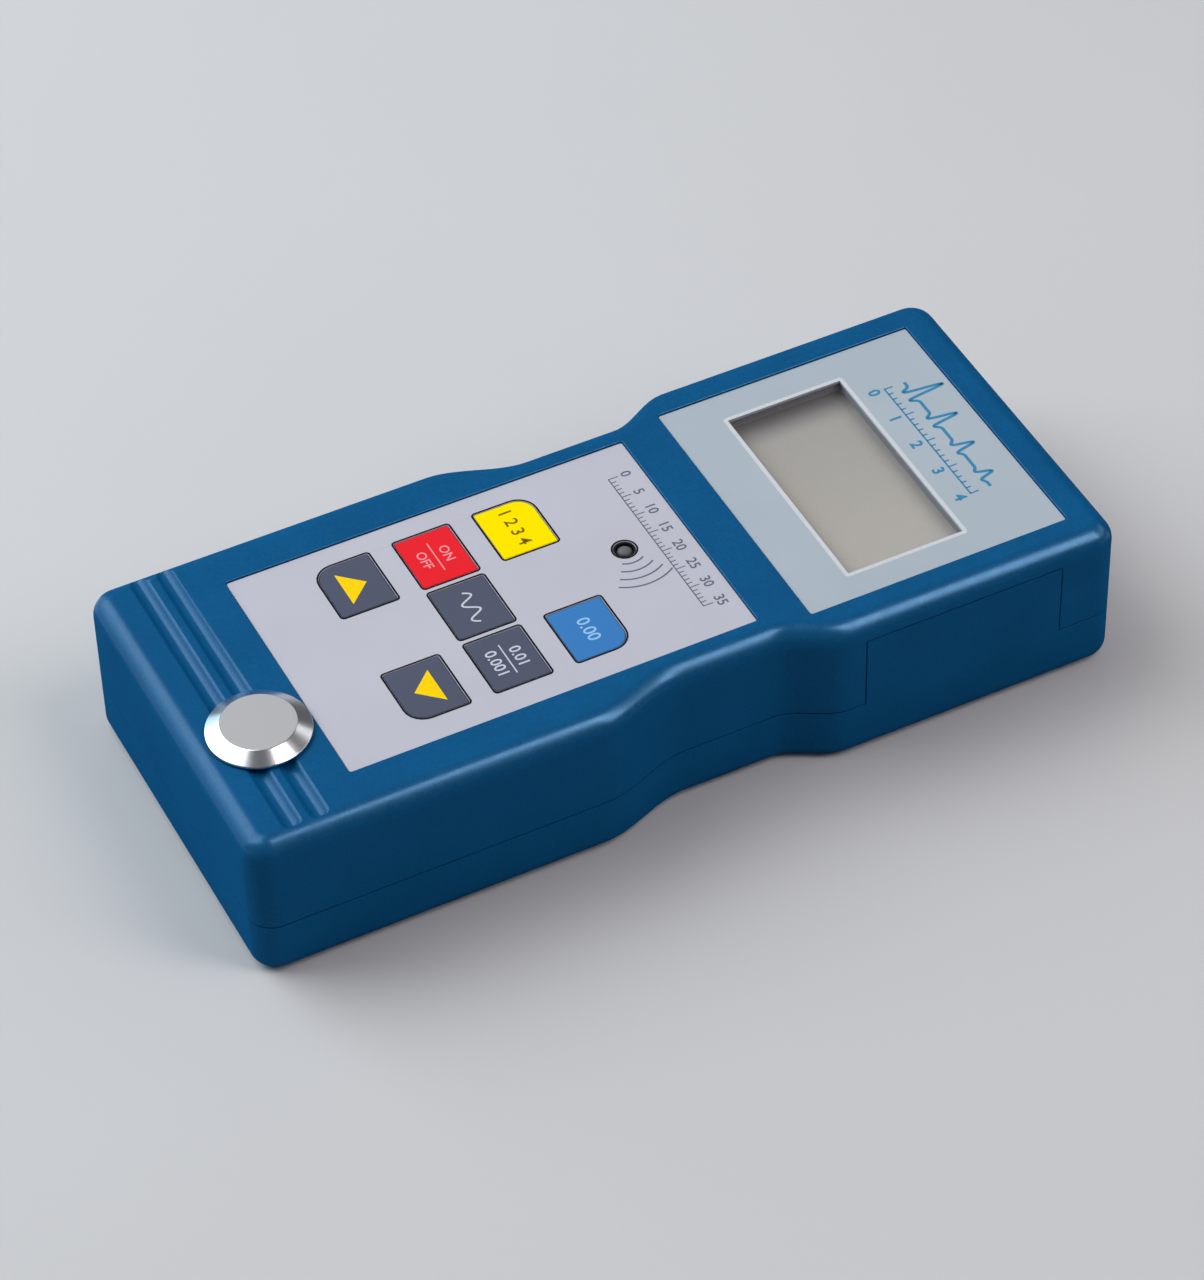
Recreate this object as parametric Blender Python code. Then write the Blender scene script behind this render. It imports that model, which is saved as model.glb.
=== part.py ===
"""A hand-held ultrasonic thickness gauge, modelled piece by piece as it comes apart on a bench.

Metres. +Z comes out of the front face, +Y runs from the keypad end to the display end, and +X is
the user's right. The gauge lies on its back, and the origin is the middle of its footprint.
"""

import math

import bmesh
import bpy
from mathutils import Matrix, Vector

MM = 0.001

# Running and seating clearance between neighbouring pieces
CLEARANCE = 0.3 * MM

# How far a cutter runs past what it cuts, and how deep a joined form sinks into what carries it
PAST = 1.0 * MM
JOIN = 0.5 * MM

# Housing, in plan
CORNER_RADIUS = 4.6 * MM
WAIST_DEPTH = 4.3 * MM
WAIST_LENGTH = 46.5 * MM
WAIST_ENTRY = 17.0 * MM
WAIST_RETURN = 11.0 * MM
WAIST_PAST_CROSSBAR = 4.4 * MM

# Housing, in section
SIDE_WALL = 2.2 * MM
FACE_WALL = 2.6 * MM
BACK_WALL = 2.4 * MM
FRONT_EDGE_RADIUS = 3.8 * MM
BACK_EDGE_RADIUS = 3.0 * MM
PARTING_HEIGHT = 11.0 * MM

# Ears of the rear shell, which fill a notch in each side of the front shell
EAR_LENGTH = 37.3 * MM
EAR_FROM_DISPLAY_END = 11.7 * MM
EAR_BELOW_FACE = 4.2 * MM

# Front face, from the keypad end to the display end
TEST_FIELD = 22.1 * MM
KEYPAD_HEIGHT = 74.0 * MM
CROSSBAR = 9.0 * MM
DISPLAY_HEIGHT = 48.6 * MM
DISPLAY_MARGIN = 7.3 * MM
KEYPAD_WIDTH = 49.2 * MM
DISPLAY_WIDTH = 55.1 * MM
OVERLAY_THICKNESS = 0.5 * MM
OVERLAY_SINK = 0.35 * MM
OVERLAY_CORNER = 0.5 * MM

# Test disc and the two finger grooves under it
DISC_DIAMETER = 17.8 * MM
DISC_FACE_DIAMETER = 13.3 * MM
DISC_HEIGHT = 2.2 * MM
DISC_RIM_HEIGHT = 0.7 * MM
DISC_SPIGOT_DIAMETER = 9.0 * MM
DISC_SPIGOT_DEPTH = 1.2 * MM
DISC_FROM_CENTRE = 9.7 * MM
DISC_FROM_END = 12.6 * MM
GROOVE_WIDTH = 3.1 * MM
GROOVE_DEPTH = 0.9 * MM
GROOVE_PITCH = 4.8 * MM
GROOVE_FROM_END = 8.9 * MM
GROOVE_FROM_SIDE = 2.9 * MM

# Keys
KEY_WIDTH = 12.1 * MM
KEY_HEIGHT = 10.0 * MM
KEY_COLUMN_PITCH = 13.8 * MM
KEY_ROW_PITCH = 14.95 * MM
KEY_BLOCK_FROM_CENTRE = -0.45 * MM
FIRST_KEY_ROW = 18.8 * MM
KEY_OUTER_CORNER = 3.2 * MM
KEY_SQUARE_CORNER = 0.3 * MM
KEY_CAP_THICKNESS = 2.65 * MM

# Switches under the keys
SWITCH_SIDE = 6.2 * MM
SWITCH_HEIGHT = 3.2 * MM
SWITCH_FLOOR = 0.9 * MM
PLUNGER_DIAMETER = 3.4 * MM
PLUNGER_STANDS_OUT = 0.9 * MM
PLUNGER_ROOM = 0.9 * MM

# Coupling lamp
LAMP_DIAMETER = 3.0 * MM
LAMP_HOLE_DIAMETER = 3.9 * MM
LAMP_FLANGE_DIAMETER = 3.8 * MM
LAMP_FLANGE_HEIGHT = 1.0 * MM
LAMP_DOME_RISE = 0.9 * MM
LAMP_FROM_CENTRE = -0.9 * MM
LAMP_IN_KEYPAD = 62.6 * MM

# Display
WINDOW_WIDTH = 42.9 * MM
WINDOW_HEIGHT = 21.8 * MM
WINDOW_FROM_CENTRE = 0.4 * MM
WINDOW_IN_DISPLAY = 10.1 * MM
GLASS_OVERHANG = 2.6 * MM
GLASS_THICKNESS = 2.0 * MM
TRAY_WALL = 1.2 * MM
TRAY_WALL_BELOW_GLASS = 0.5 * MM
STRIP_WIDTH = 1.8 * MM
STRIP_INSET = 1.0 * MM

# Circuit board
BOARD_THICKNESS = 1.6 * MM
BOARD_CORNER = 1.5 * MM
BOARD_LIFT = 2.0 * MM
BOARD_FROM_KEYPAD_END = 7.0 * MM
BOARD_FROM_DISPLAY_END = 14.5 * MM
BOARD_SIDE_CLEARANCE = 0.6 * MM
CHIP_SIDE = 12.0 * MM
CHIP_HEIGHT = 1.4 * MM
CHIP_CORNER = 0.6 * MM
CHIP_IN_DISPLAY = 18.0 * MM
CRYSTAL_LENGTH = 11.0 * MM
CRYSTAL_WIDTH = 4.6 * MM
CRYSTAL_HEIGHT = 3.5 * MM
CRYSTAL_CORNER = 1.2 * MM
CRYSTAL_FROM_CENTRE = 14.0 * MM

# Batteries, four cells side by side
CELL_COUNT = 4
CELL_DIAMETER = 14.3 * MM
CELL_LENGTH = 50.0 * MM
CELL_NUB_DIAMETER = 5.5 * MM
CELL_NUB_LENGTH = 1.1 * MM
CELL_EDGE = 0.6 * MM
CONTACT_THICKNESS = 0.5 * MM
CONTACT_HEIGHT = 9.0 * MM
CONTACT_BUMP = 0.7 * MM
CONTACT_BUMP_DIAMETER = 4.0 * MM
CONTACT_BUMP_TIP_DIAMETER = 2.4 * MM
CONTACT_PLATE_GAP = 2.4 * MM
SPRING_LENGTH = 3.0 * MM
SPRING_BASE_DIAMETER = 7.6 * MM
SPRING_TIP_DIAMETER = 4.6 * MM
SPRING_WIRE = 0.7 * MM
SPRING_TURNS = 2.25
TERMINAL_TAB_WIDTH = 3.0 * MM
BAY_FROM_END = 4.8 * MM
BAY_WALL = 2.0 * MM
BAY_CORNER = 1.8 * MM
BAY_ROOF = 1.5 * MM
BAY_TO_SIDE_WALL = 0.6 * MM
CELL_PLAY = 0.4 * MM

# Battery door
DOOR_SINK = 0.3 * MM
DOOR_THICKNESS = 1.8 * MM
DOOR_LAP = 0.9 * MM
DOOR_SIDE_LAP = 0.2 * MM
DOOR_TONGUE = 0.8 * MM
DOOR_TONGUE_THICKNESS = 0.9 * MM
GRIP_RIBS = 5
GRIP_RIB_PITCH = 2.6 * MM
GRIP_RIB_WIDTH = 1.2 * MM
GRIP_RIB_LENGTH = 22.0 * MM
GRIP_RIB_HEIGHT = 0.25 * MM
GRIP_FROM_END = 9.0 * MM

# Probe sockets in the display end wall
SOCKET_SPACING = 22.0 * MM
SOCKET_HEIGHT = 16.5 * MM
SOCKET_BARREL_DIAMETER = 7.4 * MM
SOCKET_BORE_DIAMETER = 4.4 * MM
SOCKET_BORE_DEPTH = 6.0 * MM
SOCKET_PIN_DIAMETER = 1.0 * MM
SOCKET_PIN_DEPTH = 1.5 * MM
SOCKET_STANDS_OUT = 3.4 * MM
SOCKET_FLANGE_DIAMETER = 10.4 * MM
SOCKET_FLANGE_THICKNESS = 1.4 * MM
SOCKET_TAIL_DIAMETER = 6.4 * MM
SOCKET_TAIL_LENGTH = 5.0 * MM
SOCKET_NUT_DIAMETER = 10.2 * MM
SOCKET_NUT_THICKNESS = 1.9 * MM

# Screws that hold the shells together, and their posts
POST_DIAMETER = 8.4 * MM
BOSS_DIAMETER = 6.4 * MM
SCREW_SHANK_DIAMETER = 2.6 * MM
SCREW_LENGTH = 15.0 * MM
SCREW_HEAD_DIAMETER = 5.2 * MM
SCREW_HEAD_HEIGHT = 1.9 * MM
SCREW_HEAD_ROUND = 0.7 * MM
SCREW_WELL_DEPTH = 4.2 * MM

# Screws that hold the board to the front shell
BOARD_BOSS_DIAMETER = 4.8 * MM
BOARD_SCREW_DIAMETER = 1.8 * MM
BOARD_SCREW_LENGTH = 5.0 * MM
BOARD_SCREW_HEAD_DIAMETER = 3.6 * MM
BOARD_SCREW_HEAD_HEIGHT = 1.0 * MM
BOARD_SCREW_FROM_EDGE = 3.4 * MM
BOARD_SCREW_IN_KEYPAD = 6.5 * MM

# Fineness of the round forms
ARC_STEPS = 5
WAIST_STEPS = 7
ROUND_SIDES = 24
FINE_ROUND_SIDES = 40

# Heights above the back face, stacked from what the housing holds
DOOR_TOP = DOOR_SINK + DOOR_THICKNESS
CELL_BOTTOM = DOOR_TOP + CLEARANCE
CELL_AXIS = CELL_BOTTOM + CELL_DIAMETER / 2
BAY_TOP = CELL_BOTTOM + CELL_DIAMETER + CLEARANCE
ROOF_TOP = BAY_TOP + BAY_ROOF
BOARD_BOTTOM = ROOF_TOP + BOARD_LIFT
BOARD_TOP = BOARD_BOTTOM + BOARD_THICKNESS
ON_BOARD = BOARD_TOP + CLEARANCE
SWITCH_TOP = ON_BOARD + SWITCH_HEIGHT
PLUNGER_TOP = SWITCH_TOP + PLUNGER_STANDS_OUT
KEY_BOTTOM = PLUNGER_TOP + CLEARANCE
KEY_TOP = KEY_BOTTOM + KEY_CAP_THICKNESS
FACE = KEY_TOP + OVERLAY_SINK
FACE_INSIDE = FACE - FACE_WALL
OVERLAY_TOP = FACE - OVERLAY_SINK
OVERLAY_BOTTOM = OVERLAY_TOP - OVERLAY_THICKNESS
RECESS_FLOOR = OVERLAY_BOTTOM - CLEARANCE

# Places along the length, from the keypad end
KEYPAD_START = TEST_FIELD
KEYPAD_END = KEYPAD_START + KEYPAD_HEIGHT
DISPLAY_START = KEYPAD_END + CROSSBAR
DISPLAY_END = DISPLAY_START + DISPLAY_HEIGHT
HOUSING_LENGTH = DISPLAY_END + DISPLAY_MARGIN
WAIST_END = DISPLAY_START + WAIST_PAST_CROSSBAR
WAIST_START = WAIST_END - WAIST_LENGTH
EAR_END = HOUSING_LENGTH - EAR_FROM_DISPLAY_END
EAR_START = EAR_END - EAR_LENGTH
CONTACT_ROOM = CONTACT_THICKNESS + 2 * CLEARANCE
BAY_LENGTH = CELL_LENGTH + SPRING_LENGTH + CONTACT_BUMP + 2 * CONTACT_ROOM
BAY_END = BAY_FROM_END + BAY_LENGTH
DOOR_END = BAY_END + DOOR_LAP

# Places across the width
CELL_PITCH = CELL_DIAMETER + CELL_PLAY
BAY_HALF = (CELL_COUNT * CELL_PITCH) / 2 + CLEARANCE
DOOR_HALF = BAY_HALF + DOOR_SIDE_LAP
HALF_WIDTH = BAY_HALF + BAY_WALL + BAY_TO_SIDE_WALL + SIDE_WALL
SOCKET_FACE = HOUSING_LENGTH + SOCKET_STANDS_OUT
LENGTH_OFFSET = -SOCKET_FACE / 2


def ease(t):
    """A smooth step from 0 to 1 with level ends."""
    t = min(max(t, 0.0), 1.0)
    return (1.0 - math.cos(math.pi * t)) / 2.0


def waist_inset(y):
    """How far the side wall is drawn in at a place along the length."""
    if y < WAIST_END - WAIST_RETURN:
        return WAIST_DEPTH * ease((y - WAIST_START) / WAIST_ENTRY)
    return WAIST_DEPTH * ease((WAIST_END - y) / WAIST_RETURN)


def arc(centre, radius, start, end, steps):
    """Points along an arc, angles in degrees, both ends included."""
    points = []
    for index in range(steps + 1):
        angle = math.radians(start + (end - start) * index / steps)
        points.append(Vector(centre) + radius * Vector((math.cos(angle), math.sin(angle))))
    return points


def side_stations():
    """Places along the length where the waisted side wall has a point."""
    deep_end = WAIST_END - WAIST_RETURN
    stations = [WAIST_START + WAIST_ENTRY * step / WAIST_STEPS for step in range(WAIST_STEPS + 1)]
    stations += [deep_end + WAIST_RETURN * step / WAIST_STEPS for step in range(WAIST_STEPS + 1)]
    return stations


def housing_plan(inset):
    """The housing's outline seen from the front, drawn in evenly by inset."""
    radius = CORNER_RADIUS
    right = arc((HALF_WIDTH - radius, radius), radius - inset, -90, 0, ARC_STEPS)
    for y in side_stations():
        step = 0.01 * MM
        slope = (waist_inset(y + step) - waist_inset(y - step)) / (2 * step)
        normal = Vector((1.0, slope)).normalized()
        right.append(Vector((HALF_WIDTH - waist_inset(y), y)) - normal * inset)
    top = (HALF_WIDTH - radius, HOUSING_LENGTH - radius)
    right += arc(top, radius - inset, 0, 90, ARC_STEPS)
    left = [Vector((-point.x, point.y)) for point in reversed(right)]
    return right + left


def rectangle(width, height, corners, centre=(0.0, 0.0)):
    """A rectangle with a radius at each corner: lower left, lower right, upper right, upper left."""
    half_w, half_h = width / 2, height / 2
    places = ((-1, -1, 180), (1, -1, 270), (1, 1, 0), (-1, 1, 90))
    outline = []
    for (sx, sy, start), radius in zip(places, corners):
        middle = (centre[0] + sx * (half_w - radius), centre[1] + sy * (half_h - radius))
        steps = 1 if radius < 1.0 * MM else ARC_STEPS
        outline += arc(middle, radius, start, start + 90, steps)
    return outline


def prism(bm, outline, low, high):
    """An upright solid on a plan outline that runs anticlockwise."""
    loft(bm, [[(p[0], p[1], low) for p in outline], [(p[0], p[1], high) for p in outline]])


def loft(bm, rings):
    """A closed skin through rings of equal count, capped at both ends."""
    loops = [[bm.verts.new(point) for point in ring] for ring in rings]
    for below, above in zip(loops, loops[1:]):
        for index in range(len(below)):
            after = (index + 1) % len(below)
            bm.faces.new((below[index], below[after], above[after], above[index]))
    bm.faces.new(list(reversed(loops[0])))
    bm.faces.new(loops[-1])


def block(bm, low, high):
    """A rectangular block between two corners."""
    outline = [(low[0], low[1]), (high[0], low[1]), (high[0], high[1]), (low[0], high[1])]
    prism(bm, outline, low[2], high[2])


def turned(bm, profile, sides, place=Matrix.Identity(4)):
    """A turned solid about Z. The profile is (radius, height) pairs from its foot to its top."""
    loops = []
    for radius, height in profile:
        if radius == 0:
            loops.append([bm.verts.new(place @ Vector((0, 0, height)))])
            continue
        ring = []
        for index in range(sides):
            angle = 2 * math.pi * index / sides
            point = Vector((radius * math.cos(angle), radius * math.sin(angle), height))
            ring.append(bm.verts.new(place @ point))
        loops.append(ring)
    for below, above in zip(loops, loops[1:]):
        for index in range(sides):
            after = (index + 1) % sides
            corners = [below[index % len(below)], below[after % len(below)]]
            corners += [above[after % len(above)], above[index % len(above)]]
            bm.faces.new(list(dict.fromkeys(corners)))


def rod(bm, radius, low, high, x, y, sides=ROUND_SIDES):
    """An upright round rod."""
    turned(bm, [(0, low), (radius, low), (radius, high), (0, high)], sides, Matrix.Translation((x, y, 0)))


def along_y(x, y, z):
    """A frame whose Z axis points along +Y, at a place."""
    return Matrix.Translation((x, y, z)) @ Matrix.Rotation(-math.pi / 2, 4, "X")


def material(name, colour, roughness, metallic=0.0, alpha=1.0):
    """A finish from the palette, made once."""
    found = bpy.data.materials.get(name)
    if found:
        return found
    made = bpy.data.materials.new(name)
    made.use_nodes = True
    shader = made.node_tree.nodes["Principled BSDF"]
    shader.inputs["Base Color"].default_value = (*colour, 1.0)
    shader.inputs["Roughness"].default_value = roughness
    shader.inputs["Metallic"].default_value = metallic
    shader.inputs["Alpha"].default_value = alpha
    made.diffuse_color = (*colour, alpha)
    return made


def housing_blue():
    return material("housing_blue", (0.012, 0.11, 0.26), 0.35)


def label_grey():
    return material("label_grey", (0.52, 0.54, 0.60), 0.4)


def dark_plastic():
    return material("dark_plastic", (0.02, 0.02, 0.025), 0.5)


def key_grey():
    return material("key_grey", (0.10, 0.105, 0.15), 0.4)


def key_red():
    return material("key_red", (0.78, 0.02, 0.03), 0.4)


def key_yellow():
    return material("key_yellow", (1.0, 0.80, 0.0), 0.4)


def key_blue():
    return material("key_blue", (0.05, 0.22, 0.58), 0.4)


def clear_pane():
    return material("clear_pane", (0.9, 0.92, 0.92), 0.05, 0.0, 0.35)


def display_glass():
    return material("display_glass", (0.40, 0.39, 0.35), 0.25)


def white_plastic():
    return material("white_plastic", (0.75, 0.75, 0.72), 0.5)


def board_green():
    return material("board_green", (0.02, 0.16, 0.07), 0.4)


def grey_rubber():
    return material("grey_rubber", (0.25, 0.25, 0.26), 0.8)


def steel():
    return material("steel", (0.55, 0.55, 0.56), 0.3, 1.0)


def spring_plate():
    return material("spring_plate", (0.62, 0.60, 0.56), 0.25, 1.0)


def cell_wrap():
    return material("cell_wrap", (0.05, 0.05, 0.06), 0.35)


def lamp_lens():
    return material("lamp_lens", (0.28, 0.29, 0.30), 0.15)


def finish(name, bm, paint=None, location=(0.0, 0.0, 0.0), parent=None):
    """Turns built geometry into an object. Lengths are counted from the keypad end until here."""
    bmesh.ops.recalc_face_normals(bm, faces=bm.faces)
    mesh = bpy.data.meshes.new(name)
    bm.to_mesh(mesh)
    bm.free()
    made = bpy.data.objects.new(name, mesh)
    bpy.context.scene.collection.objects.link(made)
    made.location = (location[0], location[1] + (0.0 if parent else LENGTH_OFFSET), location[2])
    made.parent = parent
    if paint:
        mesh.materials.append(paint)
        mesh.shade_smooth()
        mesh.set_sharp_from_angle(angle=math.radians(30))
    return made


def combine(target, tool, operation):
    """Leaves a Boolean on the target, with the tool kept as a hidden guide."""
    step = target.modifiers.new(tool.name, "BOOLEAN")
    step.operation = operation
    step.solver = "EXACT"
    step.object = tool
    tool.hide_render = True
    tool.display_type = "WIRE"


def guide(name, build):
    """A guide solid for a Boolean, built by a function that fills a bmesh."""
    bm = bmesh.new()
    build(bm)
    return finish(name, bm)


def housing_body(bm):
    """The whole outside of the housing as one solid, with its waist and rounded edges."""
    rings = []
    for step in range(ARC_STEPS):
        angle = math.radians(90 * step / ARC_STEPS)
        inset = BACK_EDGE_RADIUS * (1 - math.sin(angle))
        rings.append((inset, BACK_EDGE_RADIUS * (1 - math.cos(angle))))
    rings.append((0.0, BACK_EDGE_RADIUS))
    for step in range(ARC_STEPS + 2):
        angle = math.radians(90 * step / (ARC_STEPS + 1))
        inset = FRONT_EDGE_RADIUS * (1 - math.cos(angle))
        rings.append((inset, FACE - FRONT_EDGE_RADIUS * (1 - math.sin(angle))))
    loft(bm, [[(p.x, p.y, z) for p in housing_plan(inset)] for inset, z in rings])


def housing_cavity(bm):
    """The hollow between the two shells."""
    prism(bm, housing_plan(SIDE_WALL), BACK_WALL, FACE_INSIDE)


def rear_region(grow):
    """The space of the rear shell: all below the parting line, and the two ears above it."""
    def build(bm):
        reach = HALF_WIDTH + PAST
        block(bm, (-reach, -PAST, -PAST), (reach, HOUSING_LENGTH + PAST, PARTING_HEIGHT + grow))
    return build


def ear_region(grow):
    """The ears, each as thick as the side wall."""
    def build(bm):
        inner = HALF_WIDTH - SIDE_WALL - PAST
        for side in (-1, 1):
            near, far = sorted((side * inner, side * (HALF_WIDTH + 2 * PAST)))
            low = (near, EAR_START - grow, PARTING_HEIGHT - PAST)
            high = (far, EAR_END + grow, FACE - EAR_BELOW_FACE + grow)
            block(bm, low, high)
    return build


def key_places():
    """Each key's name, place, rounded corner (0 lower left, 1 lower right, 2 upper right, 3 upper left)."""
    layout = (
        ("up_key", -1, 0, 0, key_grey),
        ("down_key", 1, 0, 1, key_grey),
        ("power_key", -1, 1, None, key_red),
        ("velocity_key", 0, 1, None, key_grey),
        ("unit_key", 1, 1, None, key_grey),
        ("select_key", -1, 2, 3, key_yellow),
        ("calibrate_key", 1, 2, 2, key_blue),
    )
    for name, column, row, corner, paint in layout:
        x = KEY_BLOCK_FROM_CENTRE + column * KEY_COLUMN_PITCH
        y = KEYPAD_START + FIRST_KEY_ROW + row * KEY_ROW_PITCH
        yield name, x, y, corner, paint


def key_outline(corner, grow=0.0):
    """A key's outline about its own middle, grown evenly for the hole that it moves in."""
    radii = [KEY_SQUARE_CORNER + grow] * 4
    if corner is not None:
        radii[corner] = KEY_OUTER_CORNER + grow
    return rectangle(KEY_WIDTH + 2 * grow, KEY_HEIGHT + 2 * grow, radii)


def moved(outline, x, y):
    return [(point[0] + x, point[1] + y) for point in outline]


def key_openings(bm):
    """One hole for each key, through the overlay and the face wall."""
    for _, x, y, corner, _ in key_places():
        prism(bm, moved(key_outline(corner, CLEARANCE), x, y), FACE_INSIDE - PAST, FACE + PAST)


def keypad_outline(grow):
    centre = (0.0, KEYPAD_START + KEYPAD_HEIGHT / 2)
    corners = [OVERLAY_CORNER + grow] * 4
    return rectangle(KEYPAD_WIDTH + 2 * grow, KEYPAD_HEIGHT + 2 * grow, corners, centre)


def display_outline(grow):
    centre = (0.0, DISPLAY_START + DISPLAY_HEIGHT / 2)
    corners = [OVERLAY_CORNER + grow] * 4
    return rectangle(DISPLAY_WIDTH + 2 * grow, DISPLAY_HEIGHT + 2 * grow, corners, centre)


def window_centre():
    return (WINDOW_FROM_CENTRE, DISPLAY_START + WINDOW_IN_DISPLAY + WINDOW_HEIGHT / 2)


def window_outline(grow):
    corners = [OVERLAY_CORNER] * 4
    return rectangle(WINDOW_WIDTH + 2 * grow, WINDOW_HEIGHT + 2 * grow, corners, window_centre())


def lamp_place():
    return (LAMP_FROM_CENTRE, KEYPAD_START + LAMP_IN_KEYPAD)


def disc_place():
    return (DISC_FROM_CENTRE, DISC_FROM_END)


def overlay_recesses(bm):
    """Shallow pockets for the two printed overlays."""
    prism(bm, keypad_outline(CLEARANCE), RECESS_FLOOR, FACE + PAST)
    prism(bm, display_outline(CLEARANCE), RECESS_FLOOR, FACE + PAST)


def window_opening(bm):
    """The hole in the face wall that the clear pane sits in."""
    prism(bm, window_outline(2 * CLEARANCE), FACE_INSIDE - PAST, RECESS_FLOOR + JOIN)


def lamp_opening(bm):
    x, y = lamp_place()
    rod(bm, LAMP_HOLE_DIAMETER / 2, FACE_INSIDE - PAST, FACE + PAST, x, y)


def disc_socket(bm):
    x, y = disc_place()
    depth = FACE - DISC_SPIGOT_DEPTH - CLEARANCE
    rod(bm, DISC_SPIGOT_DIAMETER / 2 + CLEARANCE, depth, FACE + PAST, x, y)


def finger_grooves(bm):
    """Two round-bottomed grooves across the keypad end, each with a rounded run-out."""
    radius = (GROOVE_WIDTH ** 2 / 4 + GROOVE_DEPTH ** 2) / (2 * GROOVE_DEPTH)
    reach = HALF_WIDTH - GROOVE_FROM_SIDE - radius
    profile = []
    for angle in range(-90, 1, 15):
        turn = math.radians(angle)
        profile.append((radius * math.cos(turn), -reach + radius * math.sin(turn)))
    profile += [(r, -h) for r, h in reversed(profile)]
    profile[0] = (0, profile[0][1])
    profile[-1] = (0, profile[-1][1])
    across = Matrix.Rotation(math.pi / 2, 4, "Y")
    for index in range(2):
        y = GROOVE_FROM_END + index * GROOVE_PITCH
        axis = Matrix.Translation((0, y, FACE + radius - GROOVE_DEPTH))
        turned(bm, profile, ROUND_SIDES, axis @ across)


def post_places():
    """The four screw posts, two behind the battery bay and two in the display end corners."""
    radius = POST_DIAMETER / 2
    beside_bay = BAY_END + BAY_WALL + CLEARANCE + radius
    at_end = HOUSING_LENGTH - SIDE_WALL - CLEARANCE - radius
    for y in (beside_bay, at_end):
        inner = HALF_WIDTH - SIDE_WALL - max(waist_inset(y - radius), waist_inset(y + radius))
        for side in (-1, 1):
            yield side * (inner - CLEARANCE - radius), y


def board_half():
    """Half the board's width, which clears the waist."""
    return HALF_WIDTH - WAIST_DEPTH - SIDE_WALL - BOARD_SIDE_CLEARANCE


def board_screw_places():
    x = board_half() - BOARD_SCREW_FROM_EDGE
    for y in (KEYPAD_START + BOARD_SCREW_IN_KEYPAD, KEYPAD_END + CROSSBAR / 2):
        for side in (-1, 1):
            yield side * x, y


def face_bosses(bm):
    """Bosses under the face wall for the shell screws and the board screws."""
    for x, y in post_places():
        rod(bm, BOSS_DIAMETER / 2, PARTING_HEIGHT + CLEARANCE, FACE_INSIDE + JOIN, x, y)
    for x, y in board_screw_places():
        rod(bm, BOARD_BOSS_DIAMETER / 2, ON_BOARD, FACE_INSIDE + JOIN, x, y, 16)


def screw_tip():
    return SCREW_WELL_DEPTH - CLEARANCE + SCREW_LENGTH


def board_screw_tip():
    return BOARD_BOTTOM - CLEARANCE + BOARD_SCREW_LENGTH


def boss_bores(bm):
    """Blind holes in the bosses."""
    for x, y in post_places():
        radius = SCREW_SHANK_DIAMETER / 2 + CLEARANCE
        rod(bm, radius, PARTING_HEIGHT - PAST, screw_tip() + CLEARANCE, x, y, 16)
    for x, y in board_screw_places():
        radius = BOARD_SCREW_DIAMETER / 2 + CLEARANCE
        rod(bm, radius, BOARD_TOP - PAST, board_screw_tip() + CLEARANCE, x, y, 12)


def socket_places():
    return ((-SOCKET_SPACING / 2, "left"), (SOCKET_SPACING / 2, "right"))


def socket_holes(bm):
    for x, _ in socket_places():
        start = HOUSING_LENGTH - SIDE_WALL - PAST
        end = HOUSING_LENGTH + PAST
        radius = SOCKET_BARREL_DIAMETER / 2 + CLEARANCE
        profile = [(0, 0), (radius, 0), (radius, end - start), (0, end - start)]
        turned(bm, profile, ROUND_SIDES, along_y(x, start, SOCKET_HEIGHT))


def make_front_shell():
    """The front casing: waisted face and side walls, with every seat that the face parts need."""
    shell = guide("front_shell", housing_body)
    shell.data.materials.append(housing_blue())
    shell.data.shade_smooth()
    shell.data.set_sharp_from_angle(angle=math.radians(30))
    combine(shell, guide("front_cavity_cut", housing_cavity), "DIFFERENCE")
    combine(shell, guide("front_parting_cut", rear_region(CLEARANCE)), "DIFFERENCE")
    combine(shell, guide("front_ear_cut", ear_region(CLEARANCE)), "DIFFERENCE")
    combine(shell, guide("front_bosses_join", face_bosses), "UNION")
    combine(shell, guide("finger_grooves_cut", finger_grooves), "DIFFERENCE")
    combine(shell, guide("overlay_recess_cut", overlay_recesses), "DIFFERENCE")
    combine(shell, guide("window_cut", window_opening), "DIFFERENCE")
    combine(shell, guide("key_openings_cut", key_openings), "DIFFERENCE")
    combine(shell, guide("lamp_hole_cut", lamp_opening), "DIFFERENCE")
    combine(shell, guide("disc_socket_cut", disc_socket), "DIFFERENCE")
    combine(shell, guide("probe_holes_cut", socket_holes), "DIFFERENCE")
    combine(shell, guide("boss_bores_cut", boss_bores), "DIFFERENCE")


def bay_and_posts(bm):
    """The battery bay as a solid block, and the screw posts."""
    width = 2 * (BAY_HALF + BAY_WALL)
    height = BAY_END - BAY_FROM_END + 2 * BAY_WALL
    outline = rectangle(width, height, [BAY_CORNER] * 4, (0.0, (BAY_FROM_END + BAY_END) / 2))
    prism(bm, outline, BACK_WALL - JOIN, ROOF_TOP)
    for x, y in post_places():
        rod(bm, POST_DIAMETER / 2, BACK_WALL - JOIN, PARTING_HEIGHT, x, y)


def bay_hollow(bm):
    block(bm, (-BAY_HALF, BAY_FROM_END, -PAST), (BAY_HALF, BAY_END, BAY_TOP))


def door_seat(bm):
    """The door's pocket in the back wall, open at the keypad end."""
    reach = DOOR_HALF + CLEARANCE
    block(bm, (-reach, -PAST, -PAST), (reach, DOOR_END + CLEARANCE, CELL_BOTTOM))


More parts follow.
